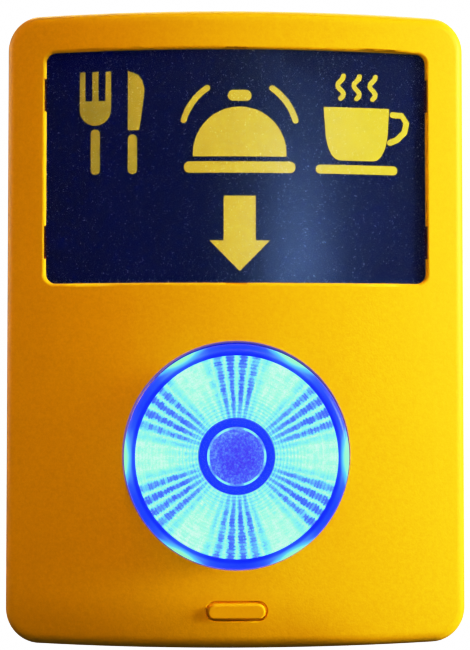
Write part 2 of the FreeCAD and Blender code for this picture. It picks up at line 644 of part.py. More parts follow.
for k in range(6):
    a = math.radians(60 * k)
    circle(sk, S("led_ring") * round(math.cos(a), 9), S("led_ring") * round(math.sin(a), 9), S("led_radius") + 0.5)
for sx in (-1, 1):
    for sz in (-1, 1):
        circle(sk, sx * S("screw_x"), sz * S("screw_z"), 1.3)
pocket(carrier, sk, 4.0, "carrier_hole_cut")

# ------------------------------------------------------------------ spring, switch
spring = new_body("return_spring", at_button=True)
sk = sketch(spring, "XY_Plane", "wire_section")
circle(sk, S("spring_radius"), -(S("lens_inner") - S("spring_wire") - 0.05), S("spring_wire"))
coil = spring.newObject("PartDesign::AdditiveHelix", "spring_coil")
coil.Profile = (sk, [""])
coil.ReferenceAxis = (sk, ["V_Axis"])
coil.Mode = "height-turns-angle"
rise = S("lens_inner") - S("seat_front") - 2 * S("spring_wire") - 0.1
coil.Height = rise.value
coil.setExpression("Height", rise.text)
coil.Turns = SIZE["spring_turns"]
coil.setExpression("Turns", "Sizes.spring_turns")
coil.Angle = 0
coil.Growth = 0
settle(spring, coil)
# the wire runs from the lens towards the seat, so its centre lies behind its first turn
if coil.Shape.CenterOfMass.y < -SIZE["lens_inner"]:
    coil.Reversed = True
    settle(spring, coil)

switch = new_body("switch_body", at_button=True)
sk = sketch(switch, "XZ_Plane", "switch_outline", S("board_front"))
rounded(sk, -S("switch_half"), S("switch_half"), -S("switch_half"), S("switch_half"), 0.6)
pad(switch, sk, S("switch_front") - S("board_front"), "switch_case")
sk = sketch(switch, "XY_Plane", "switch_cavity")
polygon(sk, [(0, -S("switch_front") - 0.5), (1.8, -S("switch_front") - 0.5), (1.8, -19.0), (2.7, -19.0),
             (2.7, -14.3), (0, -14.3)])
groove(switch, sk, "switch_bore")

plunger = new_body("switch_plunger", at_button=True)
sk = sketch(plunger, "XY_Plane", "plunger_section")
polygon(sk, [(0, -S("plunger_front")), (S("plunger_radius"), -S("plunger_front")), (S("plunger_radius"), -18.0),
             (2.4, -18.0), (2.4, -17.2), (0, -17.2)])
revolve(plunger, sk, "plunger_turned")
fillet(plunger, edges_of(plunger, lambda e: near(e.BoundBox.YMin, -SIZE["plunger_front"])
                         and near(e.BoundBox.YMax, -SIZE["plunger_front"])
                         and near(e.BoundBox.XMax, SIZE["plunger_radius"])), 0.4, "plunger_tip")

# ------------------------------------------------------------------ light board
board = new_body("light_board")
sk = sketch(board, "XZ_Plane", "board_outline", S("board_rear"))
rounded(sk, -S("board_half_x"), S("board_half_x"), S("board_low"), S("board_high"), 2.0)
for sx in (-1, 1):
    for sz in (-1, 1):
        circle(sk, sx * S("screw_x"), S("button_z") + sz * S("screw_z"), 1.3)
pad(board, sk, S("board_front") - S("board_rear"), "board_sheet")

leds = new_body("leds", at_button=True)
sk = sketch(leds, "XZ_Plane", "led_flanges", S("board_front"))
sk2 = sketch(leds, "XZ_Plane", "led_stems", S("board_front"))
for k in range(6):
    a = math.radians(60 * k)
    x, z = S("led_ring") * round(math.cos(a), 9), S("led_ring") * round(math.sin(a), 9)
    circle(sk, x, z, S("led_radius") + 0.35)
    circle(sk2, x, z, S("led_radius"))
pad(leds, sk, 1.0, "led_flange")
pad(leds, sk2, S("led_front") - S("board_front"), "led_stem")
fillet(leds, edges_of(leds, lambda e: near(e.BoundBox.YMin, -SIZE["led_front"])
                      and near(e.BoundBox.YMax, -SIZE["led_front"])), S("led_radius") - 0.08, "led_dome")

# parts on the rear side of the board
block = new_body("terminal_block")
sk = sketch(block, "XZ_Plane", "block_outline", 4.0)
rectangle(sk, -10.4, 10.4, -6.4, 2.6)
pad(block, sk, S("board_rear") - 4.0, "block_case")
chamfer(block, edges_of(block, lambda e: near(mid(e).y, -4.0) and near(mid(e).z, 2.6)), 1.6, "block_slope")
sk = sketch(block, "XZ_Plane", "block_screw_bores", 4.0)
for k in range(4):
    circle(sk, -7.8 + 5.2 * k, -2.6, 1.75)
pocket(block, sk, 4.4, "block_screw_cut", front=True)
sk = sketch(block, "XY_Plane", "block_wire_ways", 2.7)
for k in range(4):
    rectangle(sk, -9.2 + 5.2 * k, -6.4 + 5.2 * k, -10.6, -8.0)
pocket(block, sk, 6.0, "block_wire_cut")

screws4 = new_body("terminal_screws")
sk = sketch(screws4, "XZ_Plane", "terminal_heads", 5.2)
for k in range(4):
    circle(sk, -7.8 + 5.2 * k, -2.6, 1.65)
pad(screws4, sk, 2.6, "terminal_head")
sk = sketch(screws4, "XZ_Plane", "terminal_slots", 5.2)
for k in range(4):
    rectangle(sk, -7.8 + 5.2 * k - 2.0, -7.8 + 5.2 * k + 2.0, -2.6 - 0.25, -2.6 + 0.25)
pocket(screws4, sk, 0.7, "terminal_slot_cut", front=True)

resist = new_body("resistors")
sk = sketch(resist, "YZ_Plane", "resistor_rows", 14.5)
sk2 = sketch(resist, "YZ_Plane", "resistor_leads", 12.5)
for k in range(6):
    circle(sk, -(S("board_rear") - 1.2), -54.0 + 4.0 * k, 1.15)
    circle(sk2, -(S("board_rear") - 1.2), -54.0 + 4.0 * k, 0.3)
pad(resist, sk, 6.3, "resistor_cases")
fillet(resist, edges_of(resist, lambda e: near(e.BoundBox.XMin, 14.5) and near(e.BoundBox.XMax, 14.5)
                        or near(e.BoundBox.XMin, 20.8) and near(e.BoundBox.XMax, 20.8)), 0.5, "resistor_ends")
pad(resist, sk2, 10.3, "resistor_lead")

cap = new_body("capacitor")
sk = sketch(cap, "XZ_Plane", "capacitor_circle", 5.2)
circle(sk, -31.0, -40.0, 4.0)
pad(cap, sk, S("board_rear") - 5.2, "capacitor_can")
fillet(cap, edges_of(cap, lambda e: near(e.BoundBox.YMin, -5.2) and near(e.BoundBox.YMax, -5.2)), 0.5, "capacitor_rim")
sk = sketch(cap, "XZ_Plane", "capacitor_vent", 5.2)
rectangle(sk, -33.2, -28.8, -40.2, -39.8)
pocket(cap, sk, 0.25, "capacitor_vent_cut", front=True)

bridge = new_body("bridge_rectifier")
sk = sketch(bridge, "XZ_Plane", "bridge_outline", 8.6)
rectangle(sk, -35.5, -26.5, -28.0, -21.6)
pad(bridge, sk, S("board_rear") - 0.4 - 8.6, "bridge_case")
chamfer(bridge, edges_of(bridge, lambda e: near(e.BoundBox.YMin, -8.6) and near(e.BoundBox.YMax, -8.6)), 0.5, "bridge_edges")
sk = sketch(bridge, "XZ_Plane", "bridge_legs", S("board_rear"))
for x in (-34.0, -28.6):
    rectangle(sk, x, x + 0.6, -29.2, -20.4)
pad(bridge, sk, 1.6, "bridge_leg", back=True)

chip = new_body("driver_chip")
sk = sketch(chip, "XZ_Plane", "chip_outline", 10.2)
rectangle(sk, -18.0, -8.2, -56.0, -52.2)
pad(chip, sk, S("board_rear") - 0.15 - 10.2, "chip_case")
sk = sketch(chip, "XZ_Plane", "chip_legs", S("board_rear"))
for k in range(7):
    rectangle(sk, -17.35 + 1.27 * k, -16.95 + 1.27 * k, -57.1, -51.1)
pad(chip, sk, 0.6, "chip_leg", back=True)

# ------------------------------------------------------------------ screws
bscrews = new_body("board_screws")
sk = sketch(bscrews, "XZ_Plane", "screw_heads", 10.3)
sk2 = sketch(bscrews, "XZ_Plane", "screw_shanks", S("board_rear") - 0.2)
for sx in (-1, 1):
    for sz in (-1, 1):
        circle(sk, sx * S("screw_x"), S("button_z") + sz * S("screw_z"), 2.3)
        circle(sk2, sx * S("screw_x"), S("button_z") + sz * S("screw_z"), 1.05)
pad(bscrews, sk, S("board_rear") - 10.3, "screw_head")
pad(bscrews, sk2, 22.0 - S("board_rear"), "screw_shank")
fillet(bscrews, edges_of(bscrews, lambda e: near(e.BoundBox.YMin, -10.3) and near(e.BoundBox.YMax, -10.3)), 0.6, "screw_head_edge")
sk = sketch(bscrews, "XZ_Plane", "screw_recess", 10.3)
for sx in (-1, 1):
    for sz in (-1, 1):
        cx, cz = sx * S("screw_x"), S("button_z") + sz * S("screw_z")
        polygon(sk, [(cx - 1.2, cz - 0.25), (cx - 0.25, cz - 0.25), (cx - 0.25, cz - 1.2), (cx + 0.25, cz - 1.2),
                     (cx + 0.25, cz - 0.25), (cx + 1.2, cz - 0.25), (cx + 1.2, cz + 0.25), (cx + 0.25, cz + 0.25),
                     (cx + 0.25, cz + 1.2), (cx - 0.25, cz + 1.2), (cx - 0.25, cz + 0.25), (cx - 1.2, cz + 0.25)])
pocket(bscrews, sk, 0.9, "screw_recess_cut", front=True)

cscrew = new_body("cover_screw")
sk = sketch(cscrew, "XZ_Plane", "cover_screw_head", S("well_floor"))
circle(sk, 0, S("cap_z"), 2.15)
pad(cscrew, sk, 2.0, "cover_head")
sk = sketch(cscrew, "XZ_Plane", "cover_screw_shank", S("well_floor"))
circle(sk, 0, S("cap_z"), 1.15)
pad(cscrew, sk, 11.0, "cover_shank", back=True)
sk = sketch(cscrew, "XZ_Plane", "cover_screw_slot", S("well_floor") + 2.0)
rectangle(sk, -2.6, 2.6, S("cap_z") - 0.3, S("cap_z") + 0.3)
pocket(cscrew, sk, 0.9, "cover_slot")

plug = new_body("screw_cap")
sk = sketch(plug, "XZ_Plane", "plug_body", 26.6)
pill(sk, 0, S("cap_z"), S("cap_half") - 0.2, S("cap_slot") - 0.2)
pad(plug, sk, 29.75 - 26.6, "plug_core")
sk = sketch(plug, "XZ_Plane", "plug_face", 29.0)
pill(sk, 0, S("cap_z"), S("cap_face_half"), S("cap_face_slot"))
pad(plug, sk, S("cap_front") - 29.0, "plug_button")
fillet(plug, edges_of(plug, lambda e: near(e.BoundBox.YMin, -SIZE["cap_front"])
                      and near(e.BoundBox.YMax, -SIZE["cap_front"])), 0.45, "plug_face_edge")
sk = sketch(plug, "XZ_Plane", "plug_legs", 26.8)
rectangle(sk, -6.0, -4.2, S("cap_z") - 1.4, S("cap_z") + 1.4)
rectangle(sk, 4.2, 6.0, S("cap_z") - 1.4, S("cap_z") + 1.4)
pad(plug, sk, 5.6, "plug_leg", back=True)

# ------------------------------------------------------------------ cable grommet
grommet = new_body("cable_grommet")
sk = sketch(grommet, "XY_Plane", "grommet_section")
polygon(sk, [(S("cable_bore"), -0.1), (7.9, -0.1), (7.9, -1.3), (5.95, -1.3), (5.95, -2.5), (7.6, -2.5),
             (7.6, -3.7), (S("cable_bore"), -3.7)])
grommet.Placement = FreeCAD.Placement(V(0, 0, SIZE["cable_z"]), FreeCAD.Rotation())
grommet.setExpression("Placement.Base.z", "Sizes.cable_z")
revolve(grommet, sk, "grommet_ring")

# ------------------------------------------------------------------ check and write
doc.recompute()
for obj in doc.Objects:
    if any(s in ("Invalid", "Error") for s in obj.State):
        raise RuntimeError("%s is %s" % (obj.Label, obj.State))
for obj in doc.Objects:
    if obj.isDerivedFrom("Sketcher::SketchObject"):
        left = obj.solve()
        if left != 0:
            raise RuntimeError("sketch %s does not solve: %s" % (obj.Label, left))
os.makedirs("parts", exist_ok=True)
for label, body in NODES.items():
    shape = body.Shape
    if shape.isNull() or not shape.isValid():
        raise RuntimeError("%s is not a valid shape" % label)
    if not shape.Solids:
        raise RuntimeError("%s holds no solid" % label)
for label, body in NODES.items():
    shape = body.Shape
    shape.exportStep("parts/%s.step" % label)
    b = shape.optimalBoundingBox(False, False)
    print("%-18s solids %2d vol %9.1f  x %7.2f %7.2f  y %7.2f %7.2f  z %7.2f %7.2f" % (
        label, len(shape.Solids), shape.Volume, b.XMin, b.XMax, b.YMin, b.YMax, b.ZMin, b.ZMax))
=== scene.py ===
import math
import random

import bmesh
import bpy
from mathutils import Matrix, Vector


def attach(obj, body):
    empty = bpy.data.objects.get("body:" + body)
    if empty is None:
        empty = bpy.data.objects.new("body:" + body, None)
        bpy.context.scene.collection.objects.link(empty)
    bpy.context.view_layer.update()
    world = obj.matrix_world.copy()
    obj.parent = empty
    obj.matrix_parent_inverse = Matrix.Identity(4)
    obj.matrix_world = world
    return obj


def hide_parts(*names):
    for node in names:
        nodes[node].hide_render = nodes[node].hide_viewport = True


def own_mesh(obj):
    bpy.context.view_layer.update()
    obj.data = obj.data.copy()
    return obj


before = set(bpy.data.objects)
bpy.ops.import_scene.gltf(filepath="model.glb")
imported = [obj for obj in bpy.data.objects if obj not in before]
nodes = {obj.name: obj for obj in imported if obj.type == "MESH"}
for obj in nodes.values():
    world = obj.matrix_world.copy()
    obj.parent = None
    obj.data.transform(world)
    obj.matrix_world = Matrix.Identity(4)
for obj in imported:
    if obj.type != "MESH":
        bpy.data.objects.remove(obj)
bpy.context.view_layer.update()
scene = bpy.context.scene

MM = 0.001
BOW = 207.0  # radius of the bowed face, mm
BOW_Y = 176.0  # its axis, mm behind the wall plane
BUTTON_Z = -31.0


# ---------------------------------------------------------------- camera
cam_data = bpy.data.cameras.new("camera")
cam = bpy.data.objects.new("camera", cam_data)
scene.collection.objects.link(cam)
cam_data.sensor_fit = "AUTO"
cam_data.sensor_width = 36.0
cam_data.lens = 1240.0 * 36.0 / 650.0
cam_data.clip_start, cam_data.clip_end = 0.01, 20.0
cam.location = (-0.0051, -0.3305, -0.0078)
cam.rotation_euler = (math.radians(90) + 0.0275, 0.0, -0.0158)
scene.camera = cam

scene.view_settings.view_transform = "Standard"
scene.view_settings.look = "None"
scene.view_settings.exposure = 0.0
scene.view_settings.gamma = 1.0

# a camera's soft shoulder: light above about two thirds is compressed up to white
SHOULDER = [(0.0, 0.0), (0.30, 0.30), (0.55, 0.55), (0.68, 0.665), (0.86, 0.765), (1.0, 0.838), (1.2, 0.912), (1.4, 0.968), (1.6, 0.995), (2.0, 1.0)]
scene.view_settings.use_curve_mapping = True
mapping = scene.view_settings.curve_mapping
mapping.white_level = (2.0, 2.0, 2.0)
curve = mapping.curves[3]
curve.points[0].location = (0.0, 0.0)
curve.points[1].location = (1.0, 1.0)
for a, b in SHOULDER[1:-1]:
    curve.points.new(a / 2.0, b)
for pt in curve.points:
    pt.handle_type = "AUTO_CLAMPED"
mapping.update()


# ---------------------------------------------------------------- node graphs
class Num:
    """A number socket that can be added, multiplied and so on."""

    def __init__(self, g, s):
        self.g, self.s = g, s

    def __add__(self, o):
        return self.g.math("ADD", self, o)

    __radd__ = __add__

    def __mul__(self, o):
        return self.g.math("MULTIPLY", self, o)

    __rmul__ = __mul__

    def __sub__(self, o):
        return self.g.math("SUBTRACT", self, o)

    def __rsub__(self, o):
        return self.g.math("SUBTRACT", o, self)

    def __truediv__(self, o):
        return self.g.math("DIVIDE", self, o)

    def clamp(self):
        return self.g.math("ADD", self, 0.0, clamp=True)


class Graph:
    """A material's node tree with short ways to add nodes to it."""

    def __init__(self, name):
        self.mat = bpy.data.materials.new(name)
        self.mat.use_nodes = True
        self.nt = self.mat.node_tree
        self.nt.nodes.clear()
        self.out = self.nt.nodes.new("ShaderNodeOutputMaterial")
        tc = self.nt.nodes.new("ShaderNodeTexCoord")
        mp = self.nt.nodes.new("ShaderNodeMapping")
        mp.inputs["Scale"].default_value = (1000.0, 1000.0, 1000.0)
        self.nt.links.new(tc.outputs["Object"], mp.inputs["Vector"])
        self.vec = mp.outputs["Vector"]  # millimetres

    def node(self, kind, **props):
        n = self.nt.nodes.new(kind)
        for k, v in props.items():
            setattr(n, k, v)
        return n

    def put(self, socket, value):
        if isinstance(value, Num):
            self.nt.links.new(value.s, socket)
        elif isinstance(value, bpy.types.NodeSocket):
            self.nt.links.new(value, socket)
        elif isinstance(value, (tuple, list)):
            v = tuple(value)
            if len(socket.default_value) == 4 and len(v) == 3:
                v = v + (1.0,)
            socket.default_value = v
        else:
            socket.default_value = value

    def math(self, op, *args, clamp=False):
        n = self.node("ShaderNodeMath", operation=op)
        n.use_clamp = clamp
        for i, a in enumerate(args):
            self.put(n.inputs[i], a)
        return Num(self, n.outputs[0])

    def xyz(self):
        n = self.node("ShaderNodeSeparateXYZ")
        self.put(n.inputs[0], self.vec)
        return [Num(self, s) for s in n.outputs]

    def combine(self, x, y, z):
        n = self.node("ShaderNodeCombineXYZ")
        for s, v in zip(n.inputs, (x, y, z)):
            self.put(s, v)
        return n.outputs[0]

    def smooth(self, a, b, x):
        """0 where x is a, 1 where x is b, smooth between them."""
        n = self.node("ShaderNodeMapRange", interpolation_type="SMOOTHSTEP")
        self.put(n.inputs["Value"], x)
        if isinstance(a, (int, float)) and isinstance(b, (int, float)) and a > b:
            self.put(n.inputs["From Min"], b)
            self.put(n.inputs["From Max"], a)
            self.put(n.inputs["To Min"], 1.0)
            self.put(n.inputs["To Max"], 0.0)
        else:
            self.put(n.inputs["From Min"], a)
            self.put(n.inputs["From Max"], b)
        return Num(self, n.outputs["Result"])

    def noise(self, scale, detail=2.0, rough=0.5, vec=None, dims="3D"):
        n = self.node("ShaderNodeTexNoise", noise_dimensions=dims)
        self.put(n.inputs["Vector"], self.vec if vec is None else vec)
        self.put(n.inputs["Scale"], scale)
        self.put(n.inputs["Detail"], detail)
        self.put(n.inputs["Roughness"], rough)
        return Num(self, n.outputs[0])

    def white(self, vec):
        n = self.node("ShaderNodeTexWhiteNoise", noise_dimensions="3D")
        self.put(n.inputs["Vector"], vec)
        return Num(self, n.outputs["Value"])

    def voronoi(self, scale, feature="F1", vec=None):
        n = self.node("ShaderNodeTexVoronoi", feature=feature)
        self.put(n.inputs["Vector"], self.vec if vec is None else vec)
        self.put(n.inputs["Scale"], scale)
        return Num(self, n.outputs["Distance"])

    def ramp(self, fac, stops, interpolation="LINEAR"):
        n = self.node("ShaderNodeValToRGB")
        r = n.color_ramp
        r.interpolation = interpolation
        while len(r.elements) < len(stops):
            r.elements.new(0.5)
        for e, (p, c) in zip(r.elements, stops):
            e.position = p
            e.color = (*c, 1.0)
        self.put(n.inputs[0], fac)
        return n.outputs[0]

    def mix(self, fac, a, b, blend="MIX"):
        n = self.node("ShaderNodeMix", data_type="RGBA", blend_type=blend)
        self.put(n.inputs[0], fac)
        self.put(n.inputs[6], a)
        self.put(n.inputs[7], b)
        return n.outputs[2]

    def bump(self, height, distance, strength=1.0, normal=None):
        n = self.node("ShaderNodeBump")
        self.put(n.inputs["Strength"], strength)
        self.put(n.inputs["Distance"], distance)
        self.put(n.inputs["Height"], height)
        if normal is not None:
            self.put(n.inputs["Normal"], normal)
        return n.outputs[0]

    def principled(self, out=True, **values):
        n = self.node("ShaderNodeBsdfPrincipled")
        for k, v in values.items():
            self.put(n.inputs[k.replace("_", " ")], v)
        if out:
            self.nt.links.new(n.outputs[0], self.out.inputs["Surface"])
        return n


def srgb(r, g, b):
    """Linear values of a colour given as 0..255 display values."""

    def f(c):
        c /= 255.0
        return c / 12.92 if c <= 0.04045 else ((c + 0.055) / 1.055) ** 2.4

    return f(r), f(g), f(b)


GLOW = 1.45  # strength of the lit pieces


def lit(r, g, b):
    """Emission colour that shows as these 0..255 display values through the shoulder, at strength GLOW."""
    out = []
    for c in srgb(r, g, b):
        for (x0, y0), (x1, y1) in zip(SHOULDER, SHOULDER[1:]):
            if c <= y1:
                out.append((x0 + (x1 - x0) * (c - y0) / (y1 - y0)) / GLOW)
                break
        else:
            out.append(1.0)
    return tuple(min(1.0, v) for v in out)


# ---------------------------------------------------------------- materials
def moulded(name, colour, dark, rough=0.42, grain=1.0, level=0.42, tint=(1.0, 1.0, 1.0), face=False):
    """Spark-eroded moulded plastic: a fine mottled grain in colour, gloss and relief. The face also rolls off softly
    above its lower edge, and the side of the button's opening gets painted dark shade with a painted glow of the
    button's light over it."""
    g = Graph(name)
    more, under, painted_hole_glow_shade = {}, None, None
    if face:
        x, y, z = g.xyz()
        zc = z - BUTTON_Z
        r = g.math("SQRT", x * x + zc * zc)
        # painted shade and painted glow on the side of the button's opening: a near-black base colour and a blue
        # emission stand in for the gap's shade and the button's light
        painted_hole_glow_shade = g.smooth(27.78, 27.50, r) * g.smooth(-24.0, -29.0, y)
        more = {"Emission_Color": g.mix(painted_hole_glow_shade, (0.0, 0.0, 0.0), (0.070, 0.058, 0.34)), "Emission_Strength": 1.0}
        d = g.math("MAXIMUM", -64.3 - z, 0.0)
        under = g.bump(d * d * (g.smooth(34.0, 8.0, x) * 0.0085 + 0.0025) * -1.0, 0.001)
    fine = g.noise(2.1, 2.0, 0.6)
    mid = g.noise(0.9, 2.0, 0.5)
    cloud = g.noise(0.05, 2.0, 0.5)
    t = (fine - 0.5) * (1.3 * grain) + (mid - 0.5) * (0.9 * grain) + (cloud - 0.5) * 0.5 + 0.5
    colour_out = g.mix(t.clamp(), dark, colour)
    if face:
        # painted dark shade on the side of the button's opening
        colour_out = g.mix(painted_hole_glow_shade * 0.92, colour_out, (0.05, 0.03, 0.04))
    r = (fine - 0.5) * 0.22 + (mid - 0.5) * 0.12 + rough
    relief = fine * 0.7 + mid * 0.6
    g.principled(
        Base_Color=colour_out,
        Roughness=r.clamp(),
        Normal=g.bump(relief, 0.00004 * min(grain, 1.2), 0.9, normal=under),
        Specular_IOR_Level=level,
        Specular_Tint=tint,
        **more,
    )
    return g.mat


YELLOW = (0.84, 0.346, 0.0022)
YELLOW_DARK = (0.76, 0.300, 0.0016)
GOLD = (1.0, 0.62, 0.012)
housing = moulded("housing_yellow", YELLOW, YELLOW_DARK, rough=0.50, grain=1.6, level=0.3, tint=GOLD, face=True)
base_yellow = moulded("base_yellow", YELLOW, YELLOW_DARK, rough=0.50, grain=1.0, level=0.3, tint=GOLD)
cap_yellow = moulded("cap_yellow", (0.80, 0.310, 0.0022), (0.73, 0.268, 0.0016), rough=0.62, grain=1.2, level=0.1, tint=GOLD)
carrier_white = moulded("carrier_white", (0.72, 0.73, 0.72), (0.62, 0.63, 0.62), rough=0.4, grain=0.5)
switch_black = moulded("switch_black", (0.022, 0.022, 0.024), (0.014, 0.014, 0.015), rough=0.38, grain=0.5)
plunger_red = moulded("plunger_red", (0.48, 0.03, 0.02), (0.40, 0.02, 0.015), rough=0.34, grain=0.4)
terminal_green = moulded("terminal_green", (0.02, 0.24, 0.09), (0.014, 0.19, 0.07), rough=0.4, grain=0.5)
grommet_black = moulded("grommet_black", (0.020, 0.020, 0.020), (0.012, 0.012, 0.012), rough=0.7, grain=0.8)


def metal(name, colour, rough, stretch):
    """Drawn or plated metal: fine lines along one way and patches of lighter plating."""
    g = Graph(name)
    x, y, z = g.xyz()
    lines = g.noise(1.0, 3.0, 0.6, vec=g.combine(x * stretch[0], y * stretch[1], z * stretch[2]))
    patch = g.noise(0.35, 3.0, 0.6)
    shade = ((lines - 0.5) * 0.5 + (patch - 0.5) * 0.6 + 0.5).clamp()
    dark = tuple(c * 0.72 for c in colour)
    g.principled(
        Base_Color=g.mix(shade, dark, colour),
        Metallic=1.0,
        Roughness=((lines - 0.5) * 0.25 + (patch - 0.5) * 0.2 + rough).clamp(),
        Normal=g.bump(lines, 0.00001, 0.6),
    )
    return g.mat


spring_steel = metal("spring_steel", (0.66, 0.66, 0.64), 0.30, (9.0, 1.0, 9.0))
zinc = metal("zinc_screw", (0.72, 0.71, 0.66), 0.34, (6.0, 1.0, 6.0))

# circuit board: solder mask over a maze of tracks, with fine weave showing through
g = Graph("board_green")
x, y, z = g.xyz()
cells = g.combine(g.math("FLOOR", x * 0.55), 0.0, g.math("FLOOR", z * 0.55))
way = g.math("GREATER_THAN", g.white(cells), 0.5)
fx = g.math("ABSOLUTE", g.math("FRACT", x * 1.1) - 0.5)
fz = g.math("ABSOLUTE", g.math("FRACT", z * 1.1) - 0.5)
track = g.smooth(0.30, 0.24, way * fx + (1.0 - way) * fz)
weave = g.noise(3.0, 2.0, 0.5)
col = g.mix(track, (0.006, 0.075, 0.030), (0.012, 0.135, 0.055))
g.principled(
    Base_Color=g.mix((weave * 0.3).clamp(), col, (0.02, 0.10, 0.05)),
    Roughness=(weave * 0.15 + 0.28).clamp(),
    Normal=g.bump(track, 0.00004, 0.8),
    Coat_Weight=0.3,
    Coat_Roughness=0.15,
)
board_green = g.mat

# resistors: tan bodies with colour bands
g = Graph("resistor_tan")
x, y, z = g.xyz()
p = g.math("FRACT", x * 0.31 + 0.1)
band = g.ramp(
    p,
    [
        (0.0, (0.62, 0.44, 0.27)),
        (0.22, (0.62, 0.44, 0.27)),
        (0.24, (0.35, 0.06, 0.02)),
        (0.32, (0.35, 0.06, 0.02)),
        (0.34, (0.62, 0.44, 0.27)),
        (0.46, (0.62, 0.44, 0.27)),
        (0.48, (0.05, 0.03, 0.02)),
        (0.56, (0.05, 0.03, 0.02)),
        (0.58, (0.62, 0.44, 0.27)),
        (0.74, (0.60, 0.42, 0.10)),
    ],
)
mott = g.noise(1.8, 2.0, 0.5)
g.principled(
    Base_Color=g.mix((mott * 0.35).clamp(), band, (0.45, 0.33, 0.20)),
    Roughness=(mott * 0.2 + 0.3).clamp(),
    Normal=g.bump(mott, 0.00003, 0.5),
)
resistor_tan = g.mat

# capacitor: dark sleeve with a pale stripe down one side, and a grey aluminium end
g = Graph("capacitor_sleeve")
x, y, z = g.xyz()
ang = g.math("ARCTAN2", z + 40.0, x + 31.0)
stripe = g.smooth(0.42, 0.36, g.math("ABSOLUTE", ang - 0.9))
rr = g.math("SQRT", (x + 31.0) * (x + 31.0) + (z + 40.0) * (z + 40.0))
end = g.smooth(3.5, 3.3, rr)
mott = g.noise(1.4, 2.0, 0.5)
c1 = g.mix(stripe, (0.012, 0.022, 0.060), (0.55, 0.58, 0.62))
c2 = g.mix(end, c1, (0.62, 0.62, 0.62))
g.principled(
    Base_Color=g.mix((mott * 0.25).clamp(), c2, (0.02, 0.03, 0.07)),
    Roughness=(mott * 0.25 + 0.22).clamp(),
    Normal=g.bump(mott, 0.00002, 0.5),
)
capacitor_sleeve = g.mat

# chips: matt black epoxy
g = Graph("chip_black")
mott = g.noise(3.0, 2.0, 0.6)
g.principled(
    Base_Color=g.mix(mott, (0.012, 0.012, 0.013), (0.035, 0.035, 0.037)),
    Roughness=(mott * 0.25 + 0.45).clamp(),
    Normal=g.bump(mott, 0.00003, 0.7),
)
chip_black = g.mat

# the LEDs' clear blue-lit resin
g = Graph("led_clear")
x, y, z = g.xyz()
mott = g.noise(0.8, 2.0, 0.5)
tip = g.smooth(-16.0, -21.0, y)
g.principled(
    Base_Color=g.mix(mott, (0.25, 0.45, 0.85), (0.45, 0.70, 0.95)),
    Roughness=(mott * 0.1 + 0.12).clamp(),
    Emission_Color=g.mix(tip, (0.02, 0.10, 0.70), (0.35, 0.80, 1.0)),
    Emission_Strength=1.2,
    Coat_Weight=0.6,
    Coat_Roughness=0.08,
)
led_clear = g.mat

# the sign's card: satin navy print with a faint fibre grain, and painted light and shade across it: bluest at its
# left end, darkest in the middle
g = Graph("card_navy")
fibre = g.noise(1.6, 4.0, 0.65)
cloud = g.noise(0.10, 3.0, 0.55)
t = ((fibre - 0.5) * 0.8 + (cloud - 0.5) * 0.5 + 0.5).clamp()
x, y, z = g.xyz()
# painted light and shade across the card, from left to right
painted_shade_across = g.smooth(-40.0, 44.0, x)
g.principled(
    Base_Color=g.mix(
        # painted shade in the side slots: the card beyond the recess edge is near black with a red tint
        g.smooth(46.86, 46.92, g.math("ABSOLUTE", x)),
        g.mix(
            t,
            g.ramp(painted_shade_across, [(0.0, (0.0006, 0.0015, 0.040)), (0.14, (0.0007, 0.0015, 0.030)), (0.5, (0.0009, 0.0018, 0.019)), (1.0, (0.0014, 0.0022, 0.028))]),
            g.ramp(painted_shade_across, [(0.0, (0.0010, 0.0022, 0.050)), (0.14, (0.0011, 0.0022, 0.038)), (0.5, (0.0014, 0.0026, 0.025)), (1.0, (0.0020, 0.0032, 0.038))]),
        ),
        g.mix(t, (0.030, 0.0030, 0.0020), (0.050, 0.0046, 0.0028)),
    ),
    Roughness=(fibre * 0.2 + 0.55).clamp(),
    Normal=g.bump(fibre, 0.00002, 0.5),
    Specular_IOR_Level=0.0,
)
card_navy = g.mat

g = Graph("sign_print")
fibre = g.noise(1.8, 4.0, 0.65)
cloud = g.noise(0.14, 3.0, 0.55)
t = ((fibre - 0.5) * 0.9 + (cloud - 0.5) * 0.4 + 0.5).clamp()
g.principled(
    Base_Color=g.mix(t, (0.340, 0.226, 0.0195), (0.404, 0.280, 0.0283)),
    Roughness=(fibre * 0.2 + 0.55).clamp(),
    Normal=g.bump(fibre, 0.00002, 0.5),
    Specular_IOR_Level=0.0,
)
sign_print = g.mat

# the sign's window: clear sheet with a fine matt grain; rays from lamps pass through it
g = Graph("window_clear")
fine = g.noise(3.0, 2.0, 0.6)
mid = g.noise(1.3, 2.0, 0.6)
pr = g.principled(
    out=False,
    Base_Color=(0.97, 0.98, 1.0),
    Roughness=((fine - 0.5) * 0.30 + 0.215).clamp(),
    IOR=1.19,
    Specular_Tint=(0.42, 0.60, 1.0),
    Transmission_Weight=1.0,
    Normal=g.bump(fine * 0.7 + mid * 0.8, 0.00003, 1.0),
)
lp = g.node("ShaderNodeLightPath")
tr = g.node("ShaderNodeBsdfTransparent")
tr.inputs[0].default_value = (0.93, 0.95, 0.97, 1.0)
ms = g.node("ShaderNodeMixShader")
g.nt.links.new(lp.outputs["Is Shadow Ray"], ms.inputs[0])
g.nt.links.new(pr.outputs[0], ms.inputs[1])
g.nt.links.new(tr.outputs[0], ms.inputs[2])
g.nt.links.new(ms.outputs[0], g.out.inputs["Surface"])
window_clear = g.mat


